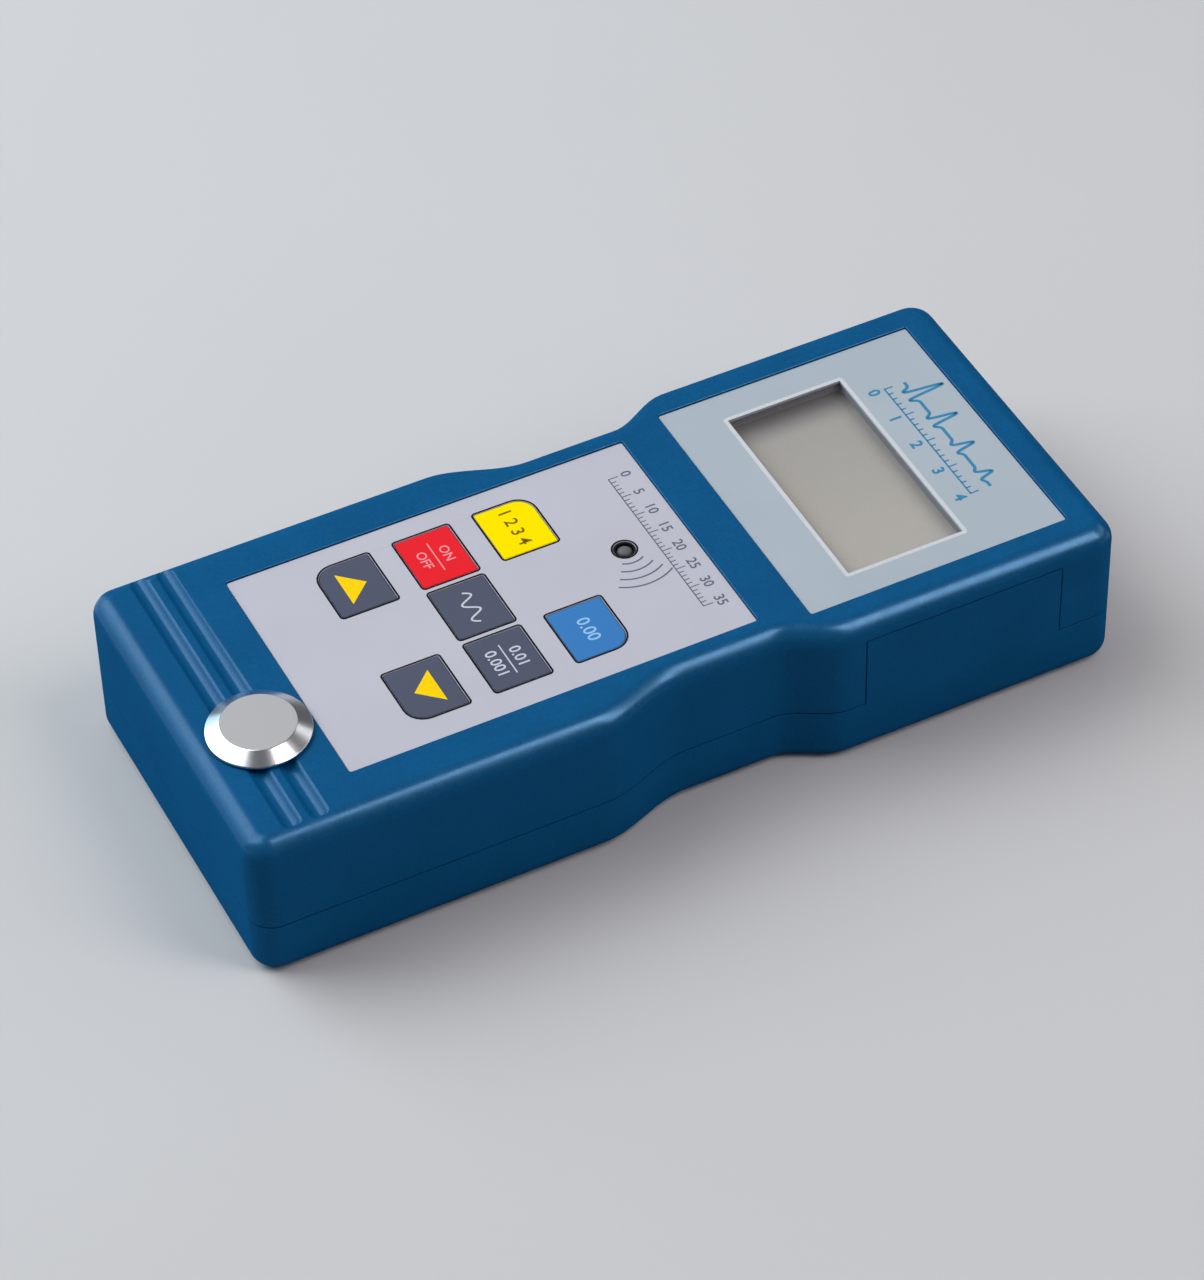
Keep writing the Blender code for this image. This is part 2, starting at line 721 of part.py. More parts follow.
def door_slots(bm):
    """The two slots that the door's tongues run in."""
    low = DOOR_TOP - DOOR_TONGUE_THICKNESS - CLEARANCE
    reach = DOOR_HALF + DOOR_TONGUE + CLEARANCE
    for side in (-1, 1):
        near, far = sorted((side * (DOOR_HALF - PAST), side * reach))
        block(bm, (near, -PAST, low), (far, DOOR_END + CLEARANCE, CELL_BOTTOM))


def post_bores(bm):
    """Screw holes up the posts, each with a well for the head."""
    for x, y in post_places():
        radius = SCREW_SHANK_DIAMETER / 2 + CLEARANCE
        rod(bm, radius, SCREW_WELL_DEPTH - JOIN, PARTING_HEIGHT + PAST, x, y, 16)


def post_wells(bm):
    for x, y in post_places():
        rod(bm, SCREW_HEAD_DIAMETER / 2 + CLEARANCE, -PAST, SCREW_WELL_DEPTH, x, y, 20)


def cell_places():
    """Each cell's place across the bay, and whether its negative end faces the keypad end."""
    for index in range(CELL_COUNT):
        yield (index - (CELL_COUNT - 1) / 2) * CELL_PITCH, index % 2 == 0


def terminal_places():
    """The outer two cells' contacts, which reach through the roof to the board."""
    outer = (CELL_COUNT - 1) / 2 * CELL_PITCH
    inward = CELL_PITCH / 4
    return (("negative_terminal", -outer, -outer + inward), ("positive_terminal", outer, outer - inward))


def keypad_contact_face():
    return BAY_FROM_END + CLEARANCE


def terminal_slots(bm):
    """Slots in the bay roof for the two tabs."""
    y = keypad_contact_face()
    for _, _, tab in terminal_places():
        half = TERMINAL_TAB_WIDTH / 2 + CLEARANCE
        low = (tab - half, y - CLEARANCE / 2, BAY_TOP - PAST)
        block(bm, low, (tab + half, y + CONTACT_THICKNESS + CLEARANCE, ROOF_TOP + PAST))


def make_rear_shell():
    """The rear casing: back, ears, battery bay and screw posts."""
    shell = guide("rear_shell", housing_body)
    shell.data.materials.append(housing_blue())
    shell.data.shade_smooth()
    shell.data.set_sharp_from_angle(angle=math.radians(30))
    region = guide("rear_region_keep", rear_region(0.0))
    combine(region, guide("rear_ears_join", ear_region(0.0)), "UNION")
    combine(shell, guide("rear_cavity_cut", housing_cavity), "DIFFERENCE")
    combine(shell, region, "INTERSECT")
    combine(shell, guide("bay_and_posts_join", bay_and_posts), "UNION")
    combine(shell, guide("bay_hollow_cut", bay_hollow), "DIFFERENCE")
    combine(shell, guide("door_seat_cut", door_seat), "DIFFERENCE")
    combine(shell, guide("door_slots_cut", door_slots), "DIFFERENCE")
    combine(shell, guide("post_bores_cut", post_bores), "DIFFERENCE")
    combine(shell, guide("post_wells_cut", post_wells), "DIFFERENCE")
    combine(shell, guide("terminal_slots_cut", terminal_slots), "DIFFERENCE")


def door_plate(bm):
    block(bm, (-DOOR_HALF, -PAST, DOOR_SINK), (DOOR_HALF, DOOR_END, DOOR_TOP))


def door_tongues(bm):
    low = DOOR_TOP - DOOR_TONGUE_THICKNESS
    reach = DOOR_HALF + DOOR_TONGUE
    block(bm, (-reach, -PAST, low), (reach, DOOR_END, DOOR_TOP))


def door_ribs(bm):
    """Low ribs for the thumb, on the outside near the keypad end."""
    half = GRIP_RIB_LENGTH / 2
    for index in range(GRIP_RIBS):
        y = GRIP_FROM_END + index * GRIP_RIB_PITCH
        low = (-half, y, DOOR_SINK - GRIP_RIB_HEIGHT)
        block(bm, low, (half, y + GRIP_RIB_WIDTH, DOOR_SINK + JOIN))


def make_battery_door():
    """The sliding door, whose end follows the housing's rounded foot."""
    door = guide("battery_door", door_plate)
    door.data.materials.append(housing_blue())
    combine(door, guide("door_tongues_join", door_tongues), "UNION")
    combine(door, guide("door_end_keep", housing_body), "INTERSECT")
    combine(door, guide("door_ribs_join", door_ribs), "UNION")


def make_keypad_overlay():
    """The printed front film of the keypad, with a hole for each key and the lamp."""
    bm = bmesh.new()
    prism(bm, keypad_outline(0.0), OVERLAY_BOTTOM, OVERLAY_TOP)
    overlay = finish("keypad_overlay", bm, label_grey())
    combine(overlay, guide("overlay_keys_cut", key_openings), "DIFFERENCE")
    combine(overlay, guide("overlay_lamp_cut", lamp_opening), "DIFFERENCE")


def overlay_window(bm):
    prism(bm, window_outline(0.0), OVERLAY_BOTTOM - PAST, OVERLAY_TOP + PAST)


def make_display_overlay():
    """The printed front film round the display."""
    bm = bmesh.new()
    prism(bm, display_outline(0.0), OVERLAY_BOTTOM, OVERLAY_TOP)
    overlay = finish("display_overlay", bm, label_grey())
    combine(overlay, guide("overlay_window_cut", overlay_window), "DIFFERENCE")


def make_display_window():
    """The clear pane in the face wall, held between the film's edge and the display glass."""
    bm = bmesh.new()
    prism(bm, window_outline(CLEARANCE), FACE_INSIDE, RECESS_FLOOR)
    finish("display_window", bm, clear_pane())


def glass_half():
    return WINDOW_WIDTH / 2 + GLASS_OVERHANG, WINDOW_HEIGHT / 2 + GLASS_OVERHANG


def glass_bottom():
    return FACE_INSIDE - CLEARANCE - GLASS_THICKNESS


def make_display_glass():
    """The liquid crystal glass, under the face wall."""
    x, y = window_centre()
    half_w, half_h = glass_half()
    bm = bmesh.new()
    low = (x - half_w, y - half_h, glass_bottom())
    block(bm, low, (x + half_w, y + half_h, glass_bottom() + GLASS_THICKNESS))
    finish("display_glass", bm, display_glass())


def strip_boxes(grow):
    """The two rubber contact strips between the glass and the board."""
    x, y = window_centre()
    half_w, half_h = glass_half()
    reach = half_w - STRIP_INSET + grow
    for side in (-1, 1):
        middle = y + side * (half_h - STRIP_INSET - STRIP_WIDTH / 2)
        low = (x - reach, middle - STRIP_WIDTH / 2 - grow)
        high = (x + reach, middle + STRIP_WIDTH / 2 + grow)
        yield side, low, high


def tray_hollow(bm):
    x, y = window_centre()
    half_w, half_h = glass_half()
    room = CLEARANCE
    low = (x - half_w - room, y - half_h - room, glass_bottom() - CLEARANCE)
    block(bm, low, (x + half_w + room, y + half_h + room, FACE))


def tray_slots(bm):
    for _, low, high in strip_boxes(CLEARANCE):
        block(bm, (*low, BOARD_TOP), (*high, FACE))


def make_display_tray():
    """The moulded tray that holds the glass and the strips over the board."""
    x, y = window_centre()
    half_w, half_h = glass_half()
    reach = CLEARANCE + TRAY_WALL
    top = glass_bottom() + GLASS_THICKNESS - TRAY_WALL_BELOW_GLASS
    bm = bmesh.new()
    low = (x - half_w - reach, y - half_h - reach, ON_BOARD)
    block(bm, low, (x + half_w + reach, y + half_h + reach, top))
    tray = finish("display_tray", bm, white_plastic())
    combine(tray, guide("tray_hollow_cut", tray_hollow), "DIFFERENCE")
    combine(tray, guide("tray_slots_cut", tray_slots), "DIFFERENCE")


def make_contact_strips():
    for side, low, high in strip_boxes(0.0):
        bm = bmesh.new()
        block(bm, (*low, ON_BOARD), (*high, glass_bottom() - CLEARANCE))
        finish("contact_strip_upper" if side > 0 else "contact_strip_lower", bm, grey_rubber())


def board_cut_outs(bm):
    """Screw holes, and a notch for each boss that stands beside the board."""
    for x, y in list(post_places())[:2]:
        rod(bm, BOSS_DIAMETER / 2 + BOARD_SIDE_CLEARANCE, BOARD_BOTTOM - PAST, BOARD_TOP + PAST, x, y)
    for x, y in board_screw_places():
        radius = BOARD_SCREW_DIAMETER / 2 + CLEARANCE
        rod(bm, radius, BOARD_BOTTOM - PAST, BOARD_TOP + PAST, x, y, 12)


def make_circuit_board():
    bm = bmesh.new()
    half = board_half()
    start = BOARD_FROM_KEYPAD_END
    end = HOUSING_LENGTH - BOARD_FROM_DISPLAY_END
    outline = rectangle(2 * half, end - start, [BOARD_CORNER] * 4, (0.0, (start + end) / 2))
    prism(bm, outline, BOARD_BOTTOM, BOARD_TOP)
    board = finish("circuit_board", bm, board_green())
    combine(board, guide("board_cut_outs_cut", board_cut_outs), "DIFFERENCE")


def make_board_parts():
    """The processor and its crystal, under the board behind the display."""
    top = BOARD_BOTTOM - CLEARANCE
    y = DISPLAY_START + CHIP_IN_DISPLAY
    bm = bmesh.new()
    prism(bm, rectangle(CHIP_SIDE, CHIP_SIDE, [CHIP_CORNER] * 4, (0.0, y)), top - CHIP_HEIGHT, top)
    finish("processor_chip", bm, dark_plastic())
    bm = bmesh.new()
    can = rectangle(CRYSTAL_WIDTH, CRYSTAL_LENGTH, [CRYSTAL_CORNER] * 4, (CRYSTAL_FROM_CENTRE, y))
    prism(bm, can, top - CRYSTAL_HEIGHT, top)
    finish("timing_crystal", bm, steel())


def make_keys():
    """Each key cap with the plunger that it presses, and the switch round the plunger.

    A key's origin is the middle of its top, on the line that it moves along.
    """
    for name, x, y, corner, paint in key_places():
        bm = bmesh.new()
        prism(bm, key_outline(corner), -KEY_CAP_THICKNESS, 0.0)
        key = finish(name, bm, paint(), (x, y, KEY_TOP))
        bm = bmesh.new()
        foot = ON_BOARD + SWITCH_FLOOR + PLUNGER_ROOM
        rod(bm, PLUNGER_DIAMETER / 2, foot - KEY_TOP, PLUNGER_TOP - KEY_TOP, 0.0, 0.0, 12)
        finish(name.replace("key", "plunger"), bm, dark_plastic(), parent=key)
        make_switch(name.replace("key", "switch"), x, y)


def make_switch(name, x, y):
    """A square switch body with a round well for its plunger."""
    half = SWITCH_SIDE / 2
    radius = PLUNGER_DIAMETER / 2 + CLEARANCE
    sides = 12
    bm = bmesh.new()
    block(bm, (-half, -half, ON_BOARD), (half, half, SWITCH_TOP))
    switch = finish(name, bm, dark_plastic(), (x, y, 0.0))
    bm = bmesh.new()
    rod(bm, radius, ON_BOARD + SWITCH_FLOOR, SWITCH_TOP + PAST, 0.0, 0.0, sides)
    combine(switch, finish(name + "_well_cut", bm, location=(x, y, 0.0)), "DIFFERENCE")


def make_coupling_lamp():
    """A small domed lamp that stands on the board and looks out of the keypad."""
    x, y = lamp_place()
    radius = LAMP_DIAMETER / 2
    rise = LAMP_DOME_RISE
    flange = LAMP_FLANGE_DIAMETER / 2
    flange_top = ON_BOARD + LAMP_FLANGE_HEIGHT
    profile = [(0, ON_BOARD), (flange, ON_BOARD), (flange, flange_top), (radius, flange_top)]
    for step in range(ARC_STEPS):
        turn = math.radians(90 * step / ARC_STEPS)
        profile.append((radius * math.cos(turn), OVERLAY_TOP - rise + rise * math.sin(turn)))
    profile.append((0, OVERLAY_TOP))
    bm = bmesh.new()
    turned(bm, profile, 20, Matrix.Translation((x, y, 0)))
    finish("coupling_lamp", bm, lamp_lens())


def make_test_disc():
    """The steel reference disc: a bevelled head on the face and a spigot in its socket."""
    x, y = disc_place()
    spigot = DISC_SPIGOT_DIAMETER / 2
    profile = [(0, FACE - DISC_SPIGOT_DEPTH), (spigot, FACE - DISC_SPIGOT_DEPTH), (spigot, FACE + CLEARANCE)]
    profile += [(DISC_DIAMETER / 2, FACE + CLEARANCE), (DISC_DIAMETER / 2, FACE + DISC_RIM_HEIGHT)]
    profile += [(DISC_FACE_DIAMETER / 2, FACE + DISC_HEIGHT), (0, FACE + DISC_HEIGHT)]
    bm = bmesh.new()
    turned(bm, profile, FINE_ROUND_SIDES, Matrix.Translation((x, y, 0)))
    finish("test_disc", bm, steel())


def make_cells():
    """Four cells, turned head to tail."""
    radius = CELL_DIAMETER / 2
    body = CELL_LENGTH - CELL_NUB_LENGTH
    nub = CELL_NUB_DIAMETER / 2
    profile = [(0, 0), (radius - CELL_EDGE, 0), (radius, CELL_EDGE), (radius, body - CELL_EDGE)]
    profile += [(radius - CELL_EDGE, body), (nub, body), (nub, CELL_LENGTH), (0, CELL_LENGTH)]
    about_turn = Matrix.Rotation(math.pi, 4, "X")
    for index, (x, negative_first) in enumerate(cell_places(), 1):
        place = along_y(x, BAY_FROM_END + CONTACT_ROOM + SPRING_LENGTH, CELL_AXIS)
        if not negative_first:
            place = along_y(x, BAY_END - CONTACT_ROOM - SPRING_LENGTH, CELL_AXIS) @ about_turn
        bm = bmesh.new()
        turned(bm, profile, ROUND_SIDES, place)
        finish("battery_cell_%d" % index, bm, cell_wrap())


def contact_spring(bm, frame):
    """A conical coil that rises along the frame's Z axis from its plate."""
    base, tip = SPRING_BASE_DIAMETER / 2, SPRING_TIP_DIAMETER / 2
    count = int(SPRING_TURNS * 10)
    wire = SPRING_WIRE / 2
    start = -CONTACT_THICKNESS / 2
    rise = SPRING_LENGTH - wire - start
    path = []
    for index in range(count + 1):
        t = index / count
        angle = 2 * math.pi * SPRING_TURNS * t
        radius = (base + (tip - base) * t) - wire
        path.append(Vector((radius * math.cos(angle), radius * math.sin(angle), start + rise * t)))
    rings = []
    for index, point in enumerate(path):
        ahead = path[min(index + 1, count)] - path[max(index - 1, 0)]
        out = Vector((point.x, point.y, 0)).normalized()
        across = ahead.normalized().cross(out).normalized()
        ring = []
        for side in range(6):
            turn = 2 * math.pi * side / 6
            ring.append(frame @ (point + wire * (math.cos(turn) * out + math.sin(turn) * across)))
        rings.append(ring)
    loft(bm, rings)


def contact_bump(bm, frame):
    """A pressed bump that meets a cell's nub."""
    radius = CONTACT_BUMP_DIAMETER / 2
    foot = -CONTACT_THICKNESS / 2
    tip = CONTACT_BUMP_TIP_DIAMETER / 2
    profile = [(0, foot), (radius, foot), (radius, 0), (tip, CONTACT_BUMP), (0, CONTACT_BUMP)]
    turned(bm, profile, 12, frame)


def make_contact(name, cells, at_keypad_end, tab=None):
    """A spring-steel contact: a plate, with a coil at each negative end and a bump at each positive."""
    edge = (CELL_PITCH - CONTACT_PLATE_GAP) / 2
    face = keypad_contact_face() if at_keypad_end else BAY_END - CLEARANCE - CONTACT_THICKNESS
    xs = [x for x, _ in cells]
    low = (min(xs) - edge, face, CELL_AXIS - CONTACT_HEIGHT / 2)
    high = (max(xs) + edge, face + CONTACT_THICKNESS, CELL_AXIS + CONTACT_HEIGHT / 2)
    bm = bmesh.new()
    block(bm, low, high)
    contact = finish(name, bm, spring_plate())
    if tab is not None:
        half = TERMINAL_TAB_WIDTH / 2

        def tab_strip(bm):
            top = BOARD_BOTTOM - CLEARANCE
            block(bm, (tab - half, face, high[2] - JOIN), (tab + half, face + CONTACT_THICKNESS, top))

        combine(contact, guide(name + "_tab_join", tab_strip), "UNION")
    for x, negative_first in cells:
        if at_keypad_end:
            frame = along_y(x, face + CONTACT_THICKNESS, CELL_AXIS)
        else:
            frame = along_y(x, face, CELL_AXIS) @ Matrix.Rotation(math.pi, 4, "X")
        is_negative = negative_first == at_keypad_end
        shape = contact_spring if is_negative else contact_bump
        part = "coil" if is_negative else "bump"

        def touch(bm, shape=shape, frame=frame):
            shape(bm, frame)

        combine(contact, guide("%s_%s_join" % (name, part), touch), "UNION")


def make_contacts():
    """The contacts put the cells in series, from the negative tab to the positive tab."""
    cells = list(cell_places())
    (negative, _, negative_tab), (positive, _, positive_tab) = terminal_places()
    make_contact(negative, cells[:1], True, negative_tab)
    make_contact("contact_bridge_1", cells[0:2], False)
    make_contact("contact_bridge_2", cells[1:3], True)
    make_contact("contact_bridge_3", cells[2:4], False)
    make_contact(positive, cells[3:], True, positive_tab)


def make_probe_sockets():
    """Two round probe sockets clamped in the display end wall, each with its nut."""
    wall_inside = HOUSING_LENGTH - SIDE_WALL
    tip = SOCKET_FACE - wall_inside
    barrel = SOCKET_BARREL_DIAMETER / 2
    bore = SOCKET_BORE_DIAMETER / 2
    pin = SOCKET_PIN_DIAMETER / 2
    flange_top = -CLEARANCE
    flange_foot = flange_top - SOCKET_FLANGE_THICKNESS
    tail = SOCKET_TAIL_DIAMETER / 2
    tail_foot = flange_foot - SOCKET_TAIL_LENGTH
    bore_floor = tip - SOCKET_BORE_DEPTH
    flange = SOCKET_FLANGE_DIAMETER / 2
    profile = [(0, tail_foot), (tail, tail_foot), (tail, flange_foot), (flange, flange_foot)]
    profile += [(flange, flange_top), (barrel, flange_top), (barrel, tip), (bore, tip), (bore, bore_floor)]
    profile += [(pin, bore_floor), (pin, tip - SOCKET_PIN_DEPTH), (0, tip - SOCKET_PIN_DEPTH)]
    for x, side in socket_places():
        bm = bmesh.new()
        turned(bm, profile, ROUND_SIDES, along_y(x, wall_inside, SOCKET_HEIGHT))
        finish("probe_socket_" + side, bm, steel())
        make_socket_nut("socket_nut_" + side, x)


def make_socket_nut(name, x):
    """A round nut with flats, on the outside of the end wall."""
    outer = SOCKET_NUT_DIAMETER / 2
    inner = SOCKET_BARREL_DIAMETER / 2 + CLEARANCE
    start = HOUSING_LENGTH + CLEARANCE
    place = along_y(x, start, SOCKET_HEIGHT)
    bm = bmesh.new()
    turned(bm, [(0, 0), (outer, 0), (outer, SOCKET_NUT_THICKNESS), (0, SOCKET_NUT_THICKNESS)], 12, place)
    nut = finish(name, bm, steel())
    bm = bmesh.new()
    reach = SOCKET_NUT_THICKNESS + PAST
    turned(bm, [(0, -PAST), (inner, -PAST), (inner, reach), (0, reach)], ROUND_SIDES, place)
    combine(nut, finish(name + "_bore_cut", bm), "DIFFERENCE")


def make_screws():
    """The four shell screws from the back, and the four board screws."""
    head = SCREW_HEAD_DIAMETER / 2
    shank = SCREW_SHANK_DIAMETER / 2
    seat = SCREW_WELL_DEPTH - CLEARANCE
    top = seat - SCREW_HEAD_HEIGHT
    profile = [(0, top), (head - SCREW_HEAD_ROUND, top), (head, top + SCREW_HEAD_ROUND), (head, seat)]
    profile += [(shank, seat), (shank, screw_tip() - shank), (0, screw_tip())]
    for index, (x, y) in enumerate(post_places(), 1):
        bm = bmesh.new()
        turned(bm, profile, 16, Matrix.Translation((x, y, 0)))
        finish("housing_screw_%d" % index, bm, steel())
    head = BOARD_SCREW_HEAD_DIAMETER / 2
    shank = BOARD_SCREW_DIAMETER / 2
    seat = BOARD_BOTTOM - CLEARANCE
    low = seat - BOARD_SCREW_HEAD_HEIGHT
    tip = board_screw_tip()
    profile = [(0, low), (head, low), (head, seat), (shank, seat), (shank, tip - shank), (0, tip)]
    for index, (x, y) in enumerate(board_screw_places(), 1):
        bm = bmesh.new()
        turned(bm, profile, 12, Matrix.Translation((x, y, 0)))
        finish("board_screw_%d" % index, bm, steel())


def clear_scene():
    for old in list(bpy.data.objects):
        bpy.data.objects.remove(old, do_unlink=True)


def main():
    clear_scene()
    make_front_shell()
    make_rear_shell()
    make_battery_door()
    make_keypad_overlay()
    make_display_overlay()
    make_display_window()
    make_display_glass()
    make_display_tray()
    make_contact_strips()
    make_circuit_board()
    make_board_parts()
    make_keys()
    make_coupling_lamp()
    make_test_disc()
    make_cells()
    make_contacts()
    make_probe_sockets()
    make_screws()


main()
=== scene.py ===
import math

import bmesh
import bpy
from mathutils import Matrix, Quaternion, Vector


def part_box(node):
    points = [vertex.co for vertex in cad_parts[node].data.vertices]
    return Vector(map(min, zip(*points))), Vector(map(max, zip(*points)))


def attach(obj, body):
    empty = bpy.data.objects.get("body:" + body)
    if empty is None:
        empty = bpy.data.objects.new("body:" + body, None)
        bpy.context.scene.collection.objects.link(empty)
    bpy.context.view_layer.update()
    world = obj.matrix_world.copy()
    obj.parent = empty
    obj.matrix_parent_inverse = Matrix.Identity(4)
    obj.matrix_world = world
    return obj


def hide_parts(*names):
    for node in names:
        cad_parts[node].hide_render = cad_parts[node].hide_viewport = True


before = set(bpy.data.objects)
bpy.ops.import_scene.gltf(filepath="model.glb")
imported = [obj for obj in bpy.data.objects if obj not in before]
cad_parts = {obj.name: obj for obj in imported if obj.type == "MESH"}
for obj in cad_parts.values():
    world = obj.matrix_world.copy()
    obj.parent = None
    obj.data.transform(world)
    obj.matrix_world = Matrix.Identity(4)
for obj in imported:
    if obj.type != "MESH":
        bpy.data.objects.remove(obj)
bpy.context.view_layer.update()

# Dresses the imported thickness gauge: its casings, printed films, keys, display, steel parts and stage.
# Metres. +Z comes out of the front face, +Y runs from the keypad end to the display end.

bl_info = {
    "name": "Thickness Gauge Dressing",
    "version": (1, 0, 0),
    "blender": (4, 5, 0),
    "location": "View3D > Sidebar > Gauge",
    "description": "Builds the visible pieces, finishes and stage of a hand-held thickness gauge",
    "category": "Object",
}

MM = 0.001

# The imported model's clearance, how far a cutter runs past what it cuts, and how far joined solids overlap
CLEARANCE = 0.3 * MM
PAST = 1.0 * MM
JOIN = 0.5 * MM

# Places that the imported model's boxes give
SHELL_LOW, SHELL_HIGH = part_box("front_shell")
FACE = SHELL_HIGH.z
FRONT_FOOT = SHELL_LOW.z
PARTING = FRONT_FOOT - CLEARANCE
EAR_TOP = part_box("rear_shell")[1].z
HALF_WIDTH = SHELL_HIGH.x
FILM_LOW, FILM_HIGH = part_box("keypad_overlay")
DISPLAY_LOW, DISPLAY_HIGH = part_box("display_overlay")
PANE_LOW, PANE_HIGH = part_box("display_window")
RECESS_FLOOR = FILM_LOW.z - CLEARANCE
DOOR_LOW, DOOR_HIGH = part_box("battery_door")
LAMP_MIDDLE = sum(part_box("coupling_lamp"), Vector()) / 2
DISC_MIDDLE = sum(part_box("test_disc"), Vector()) / 2

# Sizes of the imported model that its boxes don't give
SPIGOT_RADIUS = 4.5 * MM
BARREL_RADIUS = 3.7 * MM
BOARD_BOSS_RADIUS = 2.4 * MM
BOARD_BORE_RADIUS = 1.2 * MM
TAB_WIDTH = 3.0 * MM

# Fineness of the round forms
CORNER_STEPS = 12
EDGE_STEPS = 12
WAIST_STEPS = 40
ROUND_SIDES = 64

# A printed scale has a long tick at every fifth place
LONG_TICK_EVERY = 5

# Each key's name, its finish and its rounded corner, counted from the lower left one
KEYS = (
    ("up", "key_grey", 0),
    ("down", "key_grey", 1),
    ("power", "key_red", None),
    ("velocity", "key_grey", None),
    ("unit", "key_grey", None),
    ("select", "key_yellow", 3),
    ("calibrate", "key_blue", 2),
)

# How glossy each finish of the keys is
KEY_GLOSS = {"key_grey": 0.03, "key_red": 0.02, "key_yellow": 0.01, "key_blue": 0.03}


def length(name, description, millimetres):
    """A size for the sidebar, given in millimetres and kept in metres."""
    return bpy.props.FloatProperty(
        name=name, description=description, default=millimetres * MM, min=0.0, unit="LENGTH", precision=5)


def colour(name, description, value):
    """A linear colour for the sidebar."""
    return bpy.props.FloatVectorProperty(
        name=name, description=description, default=value, size=3, min=0.0, max=1.0, subtype="COLOR")


def power(name, description, watts):
    """A light's power for the sidebar."""
    return bpy.props.FloatProperty(
        name=name, description=description, default=watts, min=0.0, unit="POWER")


class GaugeHousingSizes(bpy.types.PropertyGroup):
    """Sizes of the two casings that the imported model's boxes don't give."""

    corner_radius: length("Corner radius", "Radius of the casing's upright corners", 4.6)
    front_edge: length("Front edge", "Radius of the edge round the front face", 3.8)
    back_edge: length("Back edge", "Radius of the edge round the back", 3.0)
    side_wall: length("Side wall", "Thickness of the side walls", 2.2)
    face_wall: length("Face wall", "Thickness of the front wall", 2.6)
    back_wall: length("Back wall", "Thickness of the back wall", 2.4)
    waist_depth: length("Waist depth", "How far each side is drawn in at the waist", 4.5)
    waist_length: length("Waist length", "Length of the waist along the side", 45.5)
    waist_entry: length("Waist entry", "Length of the waist's slope at the keypad side", 17.0)
    waist_return: length("Waist return", "Length of the waist's slope at the display side", 11.5)
    waist_past_film: length("Waist past film", "How far the waist runs past the display film's edge", 3.4)
    ear_length: length("Ear length", "Length of the rear casing's ear on each side", 37.3)
    ear_from_end: length("Ear from end", "Distance from the ear to the display end", 11.7)
    seam: length("Seam", "Width of the visible seam between the casings", 0.2)
    seam_edge: length("Seam edge", "Rounding of the casings' edges at the seam", 0.22)
    recess_lip: length("Recess lip", "Rounding of the edge of each film's recess", 0.2)
    groove_half_width: length("Groove half width", "Half the width of a finger groove, up to its lip", 1.6)
    groove_depth: length("Groove depth", "Depth of a finger groove", 1.1)
    groove_pitch: length("Groove pitch", "Distance between the two finger grooves", 4.8)
    groove_from_end: length("Groove from end", "Distance from the keypad end to the first groove", 8.9)
    groove_from_right: length("Groove from right", "Distance from a groove's end to the right side", 2.6)
    groove_from_left: length("Groove from left", "Distance from a groove's end to the left side", 0.5)
    boss_diameter: length("Boss", "Diameter of the screw bosses under the face", 6.4)
    post_diameter: length("Post", "Diameter of the screw posts on the back", 8.4)
    screw_bore: length("Screw bore", "Diameter of the bore for a casing screw", 3.2)
    screw_well: length("Screw well", "Depth of the well for a screw head", 4.2)
    bay_wall: length("Bay wall", "Thickness of the battery bay's walls", 2.0)
    bay_roof: length("Bay roof", "Thickness of the battery bay's roof", 1.5)
    bay_corner: length("Bay corner", "Outer corner radius of the battery bay", 1.8)
    door_tongue: length("Door tongue", "How far the door's tongues reach into their slots", 0.8)
    door_tongue_thickness: length("Door tongue thickness", "Thickness of the door's tongues", 0.9)
    door_side_lap: length("Door side lap", "How far the door laps the bay at each side", 0.2)
    rib_length: length("Rib length", "Length of the thumb ribs on the door", 22.0)
    rib_width: length("Rib width", "Width of a thumb rib", 1.2)
    rib_pitch: length("Rib pitch", "Distance between thumb ribs", 2.6)
    rib_from_end: length("Rib from end", "Distance from the keypad end to the first thumb rib", 9.0)
    rib_count: bpy.props.IntProperty(name="Ribs", description="Thumb ribs on the door", default=5, min=1)


class GaugeFaceSizes(bpy.types.PropertyGroup):
    """Sizes of the films, keys, display and print."""

    film_corner: length("Film corner", "Corner radius of the films", 0.2)
    film_edge: length("Film edge", "Rounding of a film's cut edge", 0.05)
    key_corner: length("Key corner", "Radius of the one rounded corner of a key", 3.2)
    key_square_corner: length("Key square corner", "Radius of a key's other corners", 0.3)
    key_edge: length("Key edge", "Rounding of a key's top edge", 0.18)
    lamp_hole: length("Lamp hole", "Diameter of the lamp's hole in the film", 3.9)
    ink: length("Ink", "How far the print stands out", 0.02)
    line: length("Line", "Width of a printed line", 0.3)
    border: length("Border", "Width of the printed border round the window", 0.75)
    film_growth: length("Film growth", "How far the films reach into the gap round them", 0.2)
    key_gap: length("Key gap", "Width of the gap between a key and the film", 0.12)
    # The printed ring round a key also stands in for the shade in the gap round it.
    key_outline: length("Key outline", "Width of the printed outline round a key", 0.34)
    figure: length("Figure", "Height of the figures on the keys", 2.4)
    scale_figure: length("Scale figure", "Height of the figures on the printed scales", 1.9)
    arrow_base: length("Arrow base", "Width of the arrows on the two upper keys", 7.8)
    arrow_height: length("Arrow height", "Height of the arrows", 4.2)


